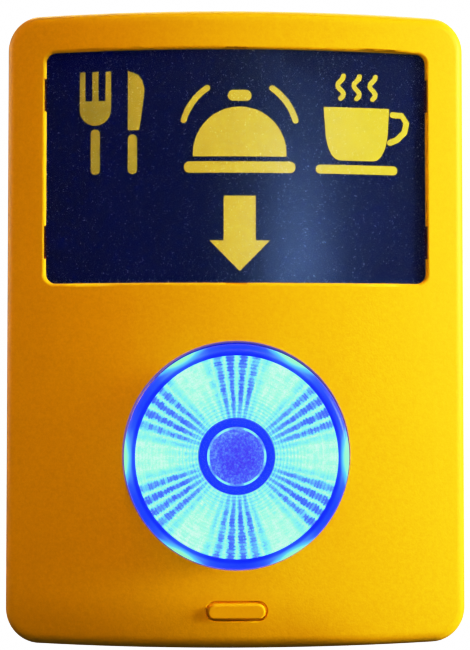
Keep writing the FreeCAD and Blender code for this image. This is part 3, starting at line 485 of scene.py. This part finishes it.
# ---- the lit button
def polar(g):
    """Radius in mm, the angle in 7.5 degree cells, and the cells from the nearest LED (0 to 4)."""
    x, y, z = g.xyz()
    zc = z - BUTTON_Z
    r = g.math("SQRT", x * x + zc * zc)
    u = g.math("ARCTAN2", zc, x) * (180.0 / math.pi / 7.5)
    near = g.math("ABSOLUTE", g.math("FRACT", u / 8.0 + 0.5) - 0.5) * 8.0
    return x, y, z, r, u, near


MINT = [
    (0.00, lit(64, 104, 252)),
    (0.22, lit(84, 142, 254)),
    (0.42, lit(98, 188, 254)),
    (0.58, lit(116, 226, 250)),
    (0.72, lit(136, 246, 232)),
    (0.87, lit(168, 253, 222)),
    (1.00, lit(214, 255, 236)),
]

# prism disc: 48 sectors of prisms crossed by fine rings, lit from six places behind
g = Graph("prism_clear")
x, y, z, r, u, near = polar(g)
wob = g.noise(1.1, 2.0, 0.6)
wob2 = g.noise(0.35, 2.0, 0.5)
u2 = u + (wob - 0.5) * 0.30 + (wob2 - 0.5) * 0.16
line = g.math("ABSOLUTE", g.math("FRACT", u2 + 0.5) - 0.5) * 2.0
v = (r - 9.3) / 0.80
ring = g.math("ABSOLUTE", g.math("FRACT", v) - 0.5) * 2.0
cell = g.combine(g.math("FLOOR", u), g.math("FLOOR", v), 3.0)
part = g.combine(g.math("FLOOR", u * 3.0), g.math("FLOOR", v), 5.0)
sector = g.combine(g.math("FLOOR", u), 7.0, 1.0)
rnd = g.white(cell)
rnd2 = g.white(sector)
rnd3 = g.white(part)
away = 4.0 - near
core = g.smooth(1.2, 0.7, away)
wing = g.smooth(3.4, 1.0, away + (rnd2 - 0.5) * 0.5)
deep = g.smooth(9.2, 16.0, r + (wob2 - 0.5) * 2.4)
between = g.smooth(0.14, 0.56, line - (1.0 - ring) * 0.26 + (rnd3 - 0.5) * 0.40)
depth = (core * 0.22 + wing * (0.60 + (rnd - 0.5) * 0.60)) * (0.56 + ring * 0.40)
rings = g.white(g.combine(g.math("FLOOR", v * 2.0), 1.0, 2.0))
dark = depth * deep * between * (0.74 + g.noise(3.4, 2.0, 0.6) * 0.50)
speckle = g.noise(2.6, 2.0, 0.65)
grain = g.noise(5.5, 2.0, 0.6)
b = (
    0.885
    + g.smooth(2.4, 0.4, near) * 0.05
    - g.smooth(1.2, 2.6, near) * (0.03 + g.smooth(0.10, 0.40, line) * 0.17)
    - g.smooth(0.25, 0.70, line + (rnd3 - 0.5) * 0.5) * (0.02 + g.smooth(19.0, 11.0, r) * 0.10 + rnd * 0.05)
    - g.smooth(14.5, 10.0, r) * 0.05
    - dark * 0.90
    - g.smooth(0.40, 1.0, 1.0 - ring) * (0.03 + g.smooth(18.0, 10.0, r) * 0.20)
    + (rings - 0.5) * 0.04
    + (rnd3 - 0.5) * (0.10 + g.smooth(18.0, 11.0, r) * 0.10)
    + (speckle - 0.5) * 0.34
    + (grain - 0.5) * 0.30
    + (wob2 - 0.5) * 0.14
)
glow = g.ramp(b.clamp(), MINT)
g.principled(
    Base_Color=g.mix(b.clamp(), (0.004, 0.012, 0.05), (0.012, 0.03, 0.05)),
    Roughness=(rnd * 0.1 + 0.35).clamp(),
    Emission_Color=glow,
    Emission_Strength=GLOW,
    IOR=1.45,
    Specular_IOR_Level=0.1,
)
prism_clear = g.mat

# the smooth blue moulding of the button: rim, skirt and centre tube, lit from within
g = Graph("lens_blue")
x, y, z, r, u, near = polar(g)
soft = g.noise(0.22, 2.0, 0.5)
fine = g.noise(1.6, 2.0, 0.5)
rim = g.smooth(24.5, 25.4, r) * g.smooth(27.3, 26.5, r)
tube = g.smooth(12.0, 11.0, r)
tone = 0.06 + tube * 0.16 + rim * (0.26 + g.smooth(3.7, 1.2, near) * 0.26) + g.smooth(2.4, 0.8, near) * g.smooth(23.0, 24.0, r) * 0.34 + (soft - 0.5) * 0.22 + (fine - 0.5) * 0.05
blue = g.ramp(
    tone.clamp(),
    [
        (0.0, lit(8, 30, 250)),
        (0.25, lit(24, 54, 254)),
        (0.55, lit(44, 88, 252)),
        (1.0, lit(84, 150, 253)),
    ],
)
front = g.smooth(-33.2, -34.6, y)
tilt = near + (soft - 0.5) * 0.5
tilt2 = tilt * tilt
side = g.smooth(20.0, 26.0, x) * 0.4
glint = g.smooth(0.0, 1.25, r - 24.55 - tilt2 * 0.50 + side) * front
blue2 = g.mix(glint, blue, lit(88, 208, 252))
hot = g.smooth(0.0, 0.9, r - 25.25 - tilt2 * 0.75 + side) * front
blue3 = g.mix(hot, blue2, lit(152, 250, 198))
back = g.smooth(-33.8, -26.0, y)
blue4 = g.mix(back, blue3, lit(16, 36, 210))
g.principled(
    Base_Color=g.mix(fine, (0.001, 0.004, 0.05), (0.0015, 0.006, 0.07)),
    Roughness=(fine * 0.10 + 0.28).clamp(),
    Emission_Color=blue4,
    Emission_Strength=GLOW,
    IOR=1.49,
    Specular_IOR_Level=0.05,
)
lens_blue = g.mat

# the clear front of the button
g = Graph("lens_front_clear")
fine = g.noise(0.6, 2.0, 0.5)
pr = g.principled(
    out=False,
    Base_Color=(0.93, 0.96, 1.0),
    Roughness=(fine * 0.04 + 0.07).clamp(),
    IOR=1.22,
    Transmission_Weight=1.0,
)
lp = g.node("ShaderNodeLightPath")
tr = g.node("ShaderNodeBsdfTransparent")
tr.inputs[0].default_value = (0.93, 0.96, 1.0, 1.0)
ms = g.node("ShaderNodeMixShader")
g.nt.links.new(lp.outputs["Is Shadow Ray"], ms.inputs[0])
g.nt.links.new(pr.outputs[0], ms.inputs[1])
g.nt.links.new(tr.outputs[0], ms.inputs[2])
g.nt.links.new(ms.outputs[0], g.out.inputs["Surface"])
lens_front_clear = g.mat

# the textured disc at the button's centre
g = Graph("lens_centre")
x, y, z, r, u, near = polar(g)
mott = g.noise(1.9, 3.0, 0.7)
grit = g.voronoi(1.8)
tone = (
    0.26
    + (mott - 0.5) * 2.6
    + g.smooth(2.5, 6.6, r) * 0.30
    + g.smooth(-2.0, 9.0, (z - BUTTON_Z) - x) * 0.14
    + g.smooth(0.22, 0.06, grit) * 0.34
)
blue = g.ramp(
    tone.clamp(),
    [
        (0.0, lit(64, 50, 232)),
        (0.30, lit(64, 68, 250)),
        (0.60, lit(72, 104, 254)),
        (1.0, lit(112, 168, 255)),
    ],
)
edge = g.smooth(6.42, 6.66, r) * (g.smooth(2.9, 1.2, near + (mott - 0.5) * 5.0) * 0.80 + 0.12)
blue2 = g.mix(edge, blue, lit(150, 248, 236))
g.principled(
    Base_Color=(0.003, 0.003, 0.05),
    Roughness=(mott * 0.3 + 0.4).clamp(),
    Emission_Color=blue2,
    Emission_Strength=GLOW,
    Normal=g.bump(mott, 0.0001, 0.6),
    Specular_IOR_Level=0.1,
)
lens_centre = g.mat


# ---------------------------------------------------------------- mesh tools
def to_object(name, bm, mats, body, replaces=(), smooth=35.0):
    bmesh.ops.recalc_face_normals(bm, faces=bm.faces)
    me = bpy.data.meshes.new(name)
    bm.to_mesh(me)
    bm.free()
    for m in mats:
        me.materials.append(m)
    if smooth:
        for p in me.polygons:
            p.use_smooth = True
        me.set_sharp_from_angle(angle=math.radians(smooth))
    ob = bpy.data.objects.new(name, me)
    scene.collection.objects.link(ob)
    if replaces:
        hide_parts(*replaces)
    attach(ob, body)
    return ob


def revolve(bm, profile, seg=180, centre=(0.0, BUTTON_Z), mat=0):
    """Turns a closed profile of (radius, y) in mm round the Y axis through centre."""
    rings = []
    for r, y in profile:
        if r < 1e-6:
            rings.append([bm.verts.new((centre[0] * MM, y * MM, centre[1] * MM))])
        else:
            rings.append(
                [
                    bm.verts.new(
                        (
                            (centre[0] + r * math.cos(2 * math.pi * k / seg)) * MM,
                            y * MM,
                            (centre[1] + r * math.sin(2 * math.pi * k / seg)) * MM,
                        )
                    )
                    for k in range(seg)
                ]
            )
    n = len(rings)
    for i in range(n):
        a, b = rings[i], rings[(i + 1) % n]
        if len(a) == 1 and len(b) == 1:
            continue
        for k in range(seg):
            k2 = (k + 1) % seg
            if len(a) == 1:
                f = bm.faces.new((a[0], b[k], b[k2]))
            elif len(b) == 1:
                f = bm.faces.new((a[k], b[0], a[k2]))
            else:
                f = bm.faces.new((a[k], b[k], b[k2], a[k2]))
            f.material_index = mat


def arc(cx, cy, r, a0, a1, n):
    return [
        (
            cx + r * math.cos(math.radians(a0 + (a1 - a0) * i / n)),
            cy + r * math.sin(math.radians(a0 + (a1 - a0) * i / n)),
        )
        for i in range(n + 1)
    ]


def bowed(x, offset):
    """Y in mm of the surface that lies offset mm under the bowed face, at x."""
    return BOW_Y - math.sqrt((BOW - offset) ** 2 - x * x)


def sheet_solid(bm, loops, front, back, step=2.0, mat=0, rows=()):
    """A closed solid between two bowed surfaces, from flat outlines of (x, z) in mm, cut across at the given rows."""
    flat = bmesh.new()
    for loop in loops:
        vs = [flat.verts.new((x, 0.0, z)) for x, z in loop]
        flat.faces.new(vs)
    flat.normal_update()
    bmesh.ops.triangulate(flat, faces=flat.faces[:])
    lo = min(v.co.x for v in flat.verts)
    hi = max(v.co.x for v in flat.verts)
    k = math.ceil(lo / step)
    while k * step < hi:
        if k * step > lo:
            bmesh.ops.bisect_plane(
                flat,
                geom=flat.verts[:] + flat.edges[:] + flat.faces[:],
                dist=1e-5,
                plane_co=(k * step, 0, 0),
                plane_no=(1, 0, 0),
            )
        k += 1
    for row in rows:
        bmesh.ops.bisect_plane(
            flat,
            geom=flat.verts[:] + flat.edges[:] + flat.faces[:],
            dist=1e-5,
            plane_co=(0, 0, row),
            plane_no=(0, 0, 1),
        )
    flat.verts.index_update()
    top, bottom = {}, {}
    for v in flat.verts:
        x, z = v.co.x, v.co.z
        top[v.index] = bm.verts.new((x * MM, bowed(x, front) * MM, z * MM))
        bottom[v.index] = bm.verts.new((x * MM, bowed(x, back) * MM, z * MM))
    for f in flat.faces:
        ids = [v.index for v in f.verts]
        bm.faces.new([top[i] for i in ids]).material_index = mat
        bm.faces.new([bottom[i] for i in reversed(ids)]).material_index = mat
    for e in flat.edges:
        if e.is_boundary:
            a, b = e.verts[0].index, e.verts[1].index
            bm.faces.new((top[a], bottom[a], bottom[b], top[b])).material_index = mat
    flat.free()


def stroke(points, width, cap=6):
    """Outline of a line of constant width with round ends."""
    h = width / 2.0
    left, right = [], []
    n = len(points)
    dirs = []
    for i in range(n):
        a = points[max(0, i - 1)]
        b = points[min(n - 1, i + 1)]
        d = Vector((b[0] - a[0], b[1] - a[1])).normalized()
        dirs.append(d)
        left.append((points[i][0] - d.y * h, points[i][1] + d.x * h))
        right.append((points[i][0] + d.y * h, points[i][1] - d.x * h))
    end, start = [], []
    a0 = math.atan2(dirs[-1].y, dirs[-1].x)
    for k in range(1, cap):
        t = a0 + math.pi / 2 - math.pi * k / cap
        end.append((points[-1][0] + h * math.cos(t), points[-1][1] + h * math.sin(t)))
    a0 = math.atan2(-dirs[0].y, -dirs[0].x)
    for k in range(1, cap):
        t = a0 + math.pi / 2 - math.pi * k / cap
        start.append((points[0][0] + h * math.cos(t), points[0][1] + h * math.sin(t)))
    return left + end + right[::-1] + start


def rounded(x0, z0, x1, z1, r, n=6):
    out = []
    for cx, cz, a in ((x1 - r, z1 - r, 0), (x0 + r, z1 - r, 90), (x0 + r, z0 + r, 180), (x1 - r, z0 + r, 270)):
        out += arc(cx, cz, r, a, a + 90, n)
    return out


# ---------------------------------------------------------------- CAD nodes' finishes
finish_of = {
    "front_cover": housing,
    "rear_base": base_yellow,
    "screw_cap": cap_yellow,
    "sign_card": card_navy,
    "button_carrier": carrier_white,
    "return_spring": spring_steel,
    "switch_body": switch_black,
    "switch_plunger": plunger_red,
    "light_board": board_green,
    "leds": led_clear,
    "terminal_block": terminal_green,
    "terminal_screws": zinc,
    "board_screws": zinc,
    "cover_screw": zinc,
    "resistors": resistor_tan,
    "capacitor": capacitor_sleeve,
    "bridge_rectifier": chip_black,
    "driver_chip": chip_black,
    "cable_grommet": grommet_black,
    "sign_window": window_clear,
    "button_lens": lens_blue,
    "prism_disc": prism_clear,
}
for name, mat in finish_of.items():
    data = nodes[name].data
    if not data.materials:
        data.materials.append(mat)
    for i in range(len(data.materials)):
        data.materials[i] = mat


# ---------------------------------------------------------------- sign window
def panel(hw, z0, z1, cr, tab, th):
    """Outline of the sign recess with its four side slots."""
    zc = (z0 + z1) / 2
    out = arc(hw - cr, z0 + cr, cr, -90, 0, 8)
    for c in (zc - 18.2, zc + 18.2):
        out += [(hw, c - th), (tab, c - th), (tab, c + th), (hw, c + th)]
    out += arc(hw - cr, z1 - cr, cr, 0, 90, 8)
    out += arc(-hw + cr, z1 - cr, cr, 90, 180, 8)
    for c in (zc + 18.2, zc - 18.2):
        out += [(-hw, c + th), (-tab, c + th), (-tab, c - th), (-hw, c - th)]
    return out + arc(-hw + cr, z0 + cr, cr, 180, 270, 8)


bm = bmesh.new()
sheet_solid(bm, [panel(46.86, 10.74, 67.66, 2.46, 47.5, 4.05)], 1.62, 1.98, step=2.0, rows=(11.0, 11.3, 30.0, 48.0, 67.1, 67.4))
to_object("sign_card_sheet", bm, [card_navy], "housing", ("sign_card",), smooth=30.0)

bm = bmesh.new()
sheet_solid(bm, [panel(46.84, 10.76, 67.64, 2.44, 47.2, 3.9)], 0.45, 1.50, step=2.0)
window = to_object("sign_window_sheet", bm, [window_clear], "window", ("sign_window",))
bev = window.modifiers.new("edge", "BEVEL")
bev.width = 0.00006
bev.segments = 2
bev.limit_method = "ANGLE"
bev.angle_limit = math.radians(50)


# ---------------------------------------------------------------- sign print
def icon(name, loops):
    bm = bmesh.new()
    sheet_solid(bm, loops, 1.54, 1.63, step=2.0)
    return to_object(name, bm, [sign_print], "housing", smooth=30.0)


ax = 0.8
icon(
    "print_arrow",
    [[(ax - 3.9, 32.0), (ax - 3.9, 21.1), (ax - 7.4, 21.1), (ax, 13.6), (ax + 7.4, 21.1), (ax + 3.9, 21.1), (ax + 3.9, 32.0)]],
)

# a counter bell, with the cutlery and the cup that go with it
bx = 0.8
bell = [
    rounded(bx - 13.6, 37.6, bx + 13.6, 40.4, 1.3),
    [(bx + 11.4, 41.6)] + arc(bx, 42.4, 11.4, 0, 180, 36) + [(bx - 11.4, 41.6)],
    rounded(bx - 2.9, 55.2, bx + 2.9, 57.9, 1.3),
]
for s in (-1, 1):
    bell.append(stroke([(bx + s * (14.2 * math.sin(math.radians(t))), 46.6 + 14.2 * math.cos(math.radians(t))) for t in range(34, 75, 5)], 1.5))
icon("print_bell", bell)

fx = -34.6
fork = [
    rounded(fx - 1.15, 37.4, fx + 1.15, 48.6, 1.1),
    [(fx - 3.9, 62.8), (fx - 3.9, 53.4)]
    + arc(fx, 53.4, 3.9, 180, 360, 14)[1:-1]
    + [(fx + 3.9, 53.4), (fx + 3.9, 62.8), (fx + 2.5, 62.8), (fx + 2.5, 55.6), (fx + 0.75, 55.6), (fx + 0.75, 62.8)]
    + [(fx - 0.75, 62.8), (fx - 0.75, 55.6), (fx - 2.5, 55.6), (fx - 2.5, 62.8)],
]
kx = -25.4
knife = [
    rounded(kx - 1.15, 37.4, kx + 1.15, 47.2, 1.1),
    [(kx - 1.15, 48.2), (kx + 1.6, 48.2)]
    + [(kx + 1.6 + 1.5 * math.sin(t * math.pi / 20), 48.2 + 14.6 * t / 10) for t in range(1, 8)]
    + [(kx + 2.4, 60.4), (kx + 1.3, 61.9), (kx - 1.15, 62.8)],
]
icon("print_cutlery", fork + knife)

cx = 29.6
cup = [
    rounded(cx - 10.2, 37.6, cx + 10.2, 39.8, 1.05),
    [(cx - 8.2, 54.0), (cx - 7.9, 49.5)]
    + [(cx - 7.9 + 3.6 * (1 - math.cos(t * math.pi / 12)), 49.5 - 8.6 * math.sin(t * math.pi / 12)) for t in range(1, 7)]
    + [(cx + 7.9 - 3.6 * (1 - math.cos(t * math.pi / 12)), 49.5 - 8.6 * math.sin(t * math.pi / 12)) for t in range(6, 0, -1)]
    + [(cx + 7.9, 49.5), (cx + 8.2, 54.0)],
    stroke([(cx + 9.1, 52.5), (cx + 11.4, 52.4), (cx + 12.6, 50.6), (cx + 12.0, 48.2), (cx + 10.2, 46.4), (cx + 8.4, 45.6)], 1.5),
]
for s in (-3.4, 0.6, 4.6):
    cup.append(stroke([(cx - 0.6 + s + 0.75 * math.sin(t * 0.9), 56.2 + t * 0.62) for t in range(0, 10)], 1.2))
icon("print_cup", cup)


# ---------------------------------------------------------------- the lit button
# rim, skirt and flange as one blue moulding, with the centre tube, and the clear front set into it
bm = bmesh.new()
body = [(24.06, -36.46), (24.3, -36.50), (24.7, -36.52), (25.25, -36.46)]
body += arc(24.86, -34.55, 1.93, -78, 0, 14)[1:]
body += [(26.79, -33.9), (26.79, -22.15)]
body += [(27.15, -22.0), (28.6, -22.0), (28.72, -21.88), (28.72, -20.95), (28.6, -20.83)]
body += [(25.05, -20.83), (24.93, -20.95), (24.93, -34.4), (24.8, -34.66), (24.06, -34.72)]
revolve(bm, body, seg=240)
tube = [(7.20, -34.42), (7.40, -34.52), (8.8, -34.52), (9.05, -34.42), (9.08, -34.2)]
tube += [(9.08, -22.75), (8.95, -22.62), (7.2, -22.62), (7.08, -22.75), (7.08, -34.2)]
revolve(bm, tube, seg=120)
slab = [(0.0, -36.75)]
slab += [(r, -36.75 + 0.30 * (r / 24.6) ** 2) for r in (3, 6, 9, 12, 15, 18, 21, 23)]
slab += [(24.04, -36.464), (24.04, -34.62), (0.0, -34.62)]
revolve(bm, slab, seg=240, mat=1)
lens = to_object("button_lens_moulding", bm, [lens_blue, lens_front_clear], "lens", ("button_lens",), smooth=40.0)

# centre disc, with a pebbled face
bm = bmesh.new()
disc = [(0.0, -34.575)]
disc += [(r, -34.575 + 0.012 * math.sin(r * 2.2)) for r in (0.8, 1.6, 2.4, 3.2, 4.0, 4.8, 5.6, 6.4)]
disc += [(6.95, -34.575), (7.03, -34.55), (7.03, -34.49), (6.95, -34.48), (0.0, -34.48)]
revolve(bm, disc, seg=120)
to_object("button_centre_disc", bm, [lens_centre], "lens", smooth=40.0)

# shoulder of the oblong plug, standing in the groove round its face
def pill_ring(bm, rows, half, n=24):
    """A closed ring round a pill whose rows are (half height, y), with the straight part fixed."""
    loops = []
    for h, y in rows:
        pts = arc(half, 0.0, h, -90, 90, n) + arc(-half, 0.0, h, 90, 270, n)
        loops.append([bm.verts.new((x * MM, y * MM, (z - 68.4) * MM)) for x, z in pts])
    for i in range(len(loops)):
        a, b = loops[i], loops[(i + 1) % len(loops)]
        for k in range(len(a)):
            k2 = (k + 1) % len(a)
            bm.faces.new((a[k], b[k], b[k2], a[k2]))


bm = bmesh.new()
pill_ring(bm, [(2.25, -28.9), (2.25, -30.36), (2.19, -30.44), (1.96, -30.50), (1.84, -30.62), (1.76, -30.86), (1.70, -30.90), (1.70, -28.9)], 5.09)
to_object("screw_cap_shoulder", bm, [cap_yellow], "cap", smooth=50.0)

# return spring: seven turns of round wire, its end turns closed, as long as the room behind the lens
bm = bmesh.new()
WIRE, COIL, TURNS, STEPS, SIDES = 0.4, 4.25, 7.0, 40, 12
Y_BACK, Y_FRONT = -21.35, -34.45
travel = Y_BACK - Y_FRONT - 2 * WIRE
closed = 2.1 * WIRE  # rise of each end turn
rings = []
for i in range(int(TURNS * STEPS) + 1):
    t = i / STEPS
    if t < 1.0:
        rise = closed * t
    elif t > TURNS - 1.0:
        rise = travel - closed * (TURNS - t)
    else:
        rise = closed + (travel - 2 * closed) * (t - 1.0) / (TURNS - 2.0)
    a = 2 * math.pi * t
    ring = []
    for k in range(SIDES):
        b = 2 * math.pi * k / SIDES
        r = COIL + WIRE * math.cos(b)
        y = Y_BACK - WIRE - rise + WIRE * math.sin(b)
        ring.append(bm.verts.new((r * math.cos(a) * MM, y * MM, (BUTTON_Z + r * math.sin(a)) * MM)))
    rings.append(ring)
for a, b in zip(rings, rings[1:]):
    for k in range(SIDES):
        k2 = (k + 1) % SIDES
        bm.faces.new((a[k], a[k2], b[k2], b[k]))
bm.faces.new(rings[0])
bm.faces.new(rings[-1][::-1])
spring = to_object("return_spring_coil", bm, [spring_steel], "housing", ("return_spring",), smooth=60.0)
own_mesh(spring)

# prism disc: facets in 48 sectors and 18 rings on the front, a plain back
bm = bmesh.new()
R0, R1, NR, NS = 9.30, 24.45, 36, 192
grid = []
for j in range(NR + 1):
    r = R0 + (R1 - R0) * j / NR
    row = []
    for i in range(NS):
        a = 2 * math.pi * i / NS
        ridge = 0.16 * (1 - abs((i % 4) - 2) / 2.0)  # valleys on the sector lines
        step = 0.14 * (j % 2)
        h = 0.0 if j in (0, NR) else ridge + step
        row.append(bm.verts.new((r * math.cos(a) * MM, (-34.48 + 0.34 - h) * MM, (BUTTON_Z + r * math.sin(a)) * MM)))
    grid.append(row)
for j in range(NR):
    for i in range(NS):
        k = (i + 1) % NS
        bm.faces.new((grid[j][i], grid[j + 1][i], grid[j + 1][k], grid[j][k]))
lower = []
for r in (R0, R1):
    lower.append([bm.verts.new((r * math.cos(2 * math.pi * i / NS) * MM, -33.32 * MM, (BUTTON_Z + r * math.sin(2 * math.pi * i / NS)) * MM)) for i in range(NS)])
for i in range(NS):
    k = (i + 1) % NS
    bm.faces.new((lower[0][i], lower[1][i], lower[1][k], lower[0][k]))
    bm.faces.new((grid[0][i], lower[0][i], lower[0][k], grid[0][k]))
    bm.faces.new((grid[NR][i], lower[1][i], lower[1][k], grid[NR][k]))
to_object("prism_disc_facets", bm, [prism_clear], "lens", ("prism_disc",), smooth=None)
lens.visible_shadow = False  # the rim is lit and translucent, so only the disc inside it throws a soft shadow


# ---------------------------------------------------------------- studio
def lamp(name, az, el, dist, size, power, colour, aim=(0.0, -0.02, 0.0), spread=180.0):
    """A soft box at an azimuth (0 in front, 90 to the right) and elevation, in degrees."""
    d = bpy.data.lights.new(name, "AREA")
    d.shape = "RECTANGLE"
    d.size, d.size_y = size
    d.energy = power
    d.color = colour
    d.spread = math.radians(spread)
    o = bpy.data.objects.new(name, d)
    scene.collection.objects.link(o)
    a, e = math.radians(az), math.radians(el)
    v = Vector((math.sin(a) * math.cos(e), -math.cos(a) * math.cos(e), math.sin(e)))
    o.location = Vector(aim) + v * dist
    o.rotation_euler = v.to_track_quat("Z", "Y").to_euler()
    return o


lamp("key", 80.0, 13.0, 1.10, (0.25, 0.40), 5.5, (0.82, 1.0, 0.46), aim=(0.0, -0.02, 0.01), spread=60.0)
lamp("front", 5.0, 35.0, 1.10, (0.25, 0.25), 0.174, (1.0, 0.66, 0.34), aim=(0.0, -0.02, 0.022), spread=20.0)
lamp("sheen", 12.3, 2.0, 1.10, (0.12, 0.20), 0.035, (0.60, 0.76, 1.0), aim=(0.0, -0.02, 0.03), spread=16.0)
lamp("left_fill", -80.0, 16.0, 0.80, (0.35, 0.35), 0.5, (1.0, 0.62, 0.35))
lamp("left_back", -112.0, 12.0, 0.90, (0.45, 0.45), 4.0, (1.0, 0.86, 0.70))
lamp("behind", 180.0, 48.0, 1.2, (0.8, 0.5), 15.0, (1.0, 0.99, 0.97))

world = bpy.data.worlds.new("studio")
scene.world = world
world.use_nodes = True
wn = world.node_tree
wn.nodes.clear()
wo = wn.nodes.new("ShaderNodeOutputWorld")
wm = wn.nodes.new("ShaderNodeMixShader")
wl = wn.nodes.new("ShaderNodeLightPath")
dim = wn.nodes.new("ShaderNodeBackground")
dim.inputs[0].default_value = (1.0, 0.96, 0.92, 1.0)
dim.inputs[1].default_value = 0.02
white = wn.nodes.new("ShaderNodeBackground")
white.inputs[0].default_value = (1.0, 1.0, 1.0, 1.0)
white.inputs[1].default_value = 1.7
wn.links.new(wl.outputs["Is Camera Ray"], wm.inputs[0])
wn.links.new(dim.outputs[0], wm.inputs[1])
wn.links.new(white.outputs[0], wm.inputs[2])
wn.links.new(wm.outputs[0], wo.inputs[0])

# a plain pale floor, well below, out of the main view
bm = bmesh.new()
bmesh.ops.create_grid(bm, x_segments=24, y_segments=24, size=0.9)
me = bpy.data.meshes.new("floor")
bm.to_mesh(me)
bm.free()
floor = bpy.data.objects.new("floor", me)
floor.location = (0.0, -0.05, -0.42)
scene.collection.objects.link(floor)
g = Graph("floor_pale")
n = g.noise(0.02, 3.0, 0.5)
tone = g.mix(n, (0.74, 0.74, 0.73), (0.80, 0.80, 0.79))
pale = g.principled(out=False, Base_Color=tone, Roughness=(n * 0.2 + 0.6).clamp(), Emission_Color=tone, Emission_Strength=0.75)
dull = g.principled(out=False, Base_Color=(0.03, 0.03, 0.03), Roughness=0.9)
lp = g.node("ShaderNodeLightPath")
ms = g.node("ShaderNodeMixShader")
g.nt.links.new(lp.outputs["Is Camera Ray"], ms.inputs[0])
g.nt.links.new(dull.outputs[0], ms.inputs[1])
g.nt.links.new(pale.outputs[0], ms.inputs[2])
g.nt.links.new(ms.outputs[0], g.out.inputs["Surface"])
me.materials.append(g.mat)
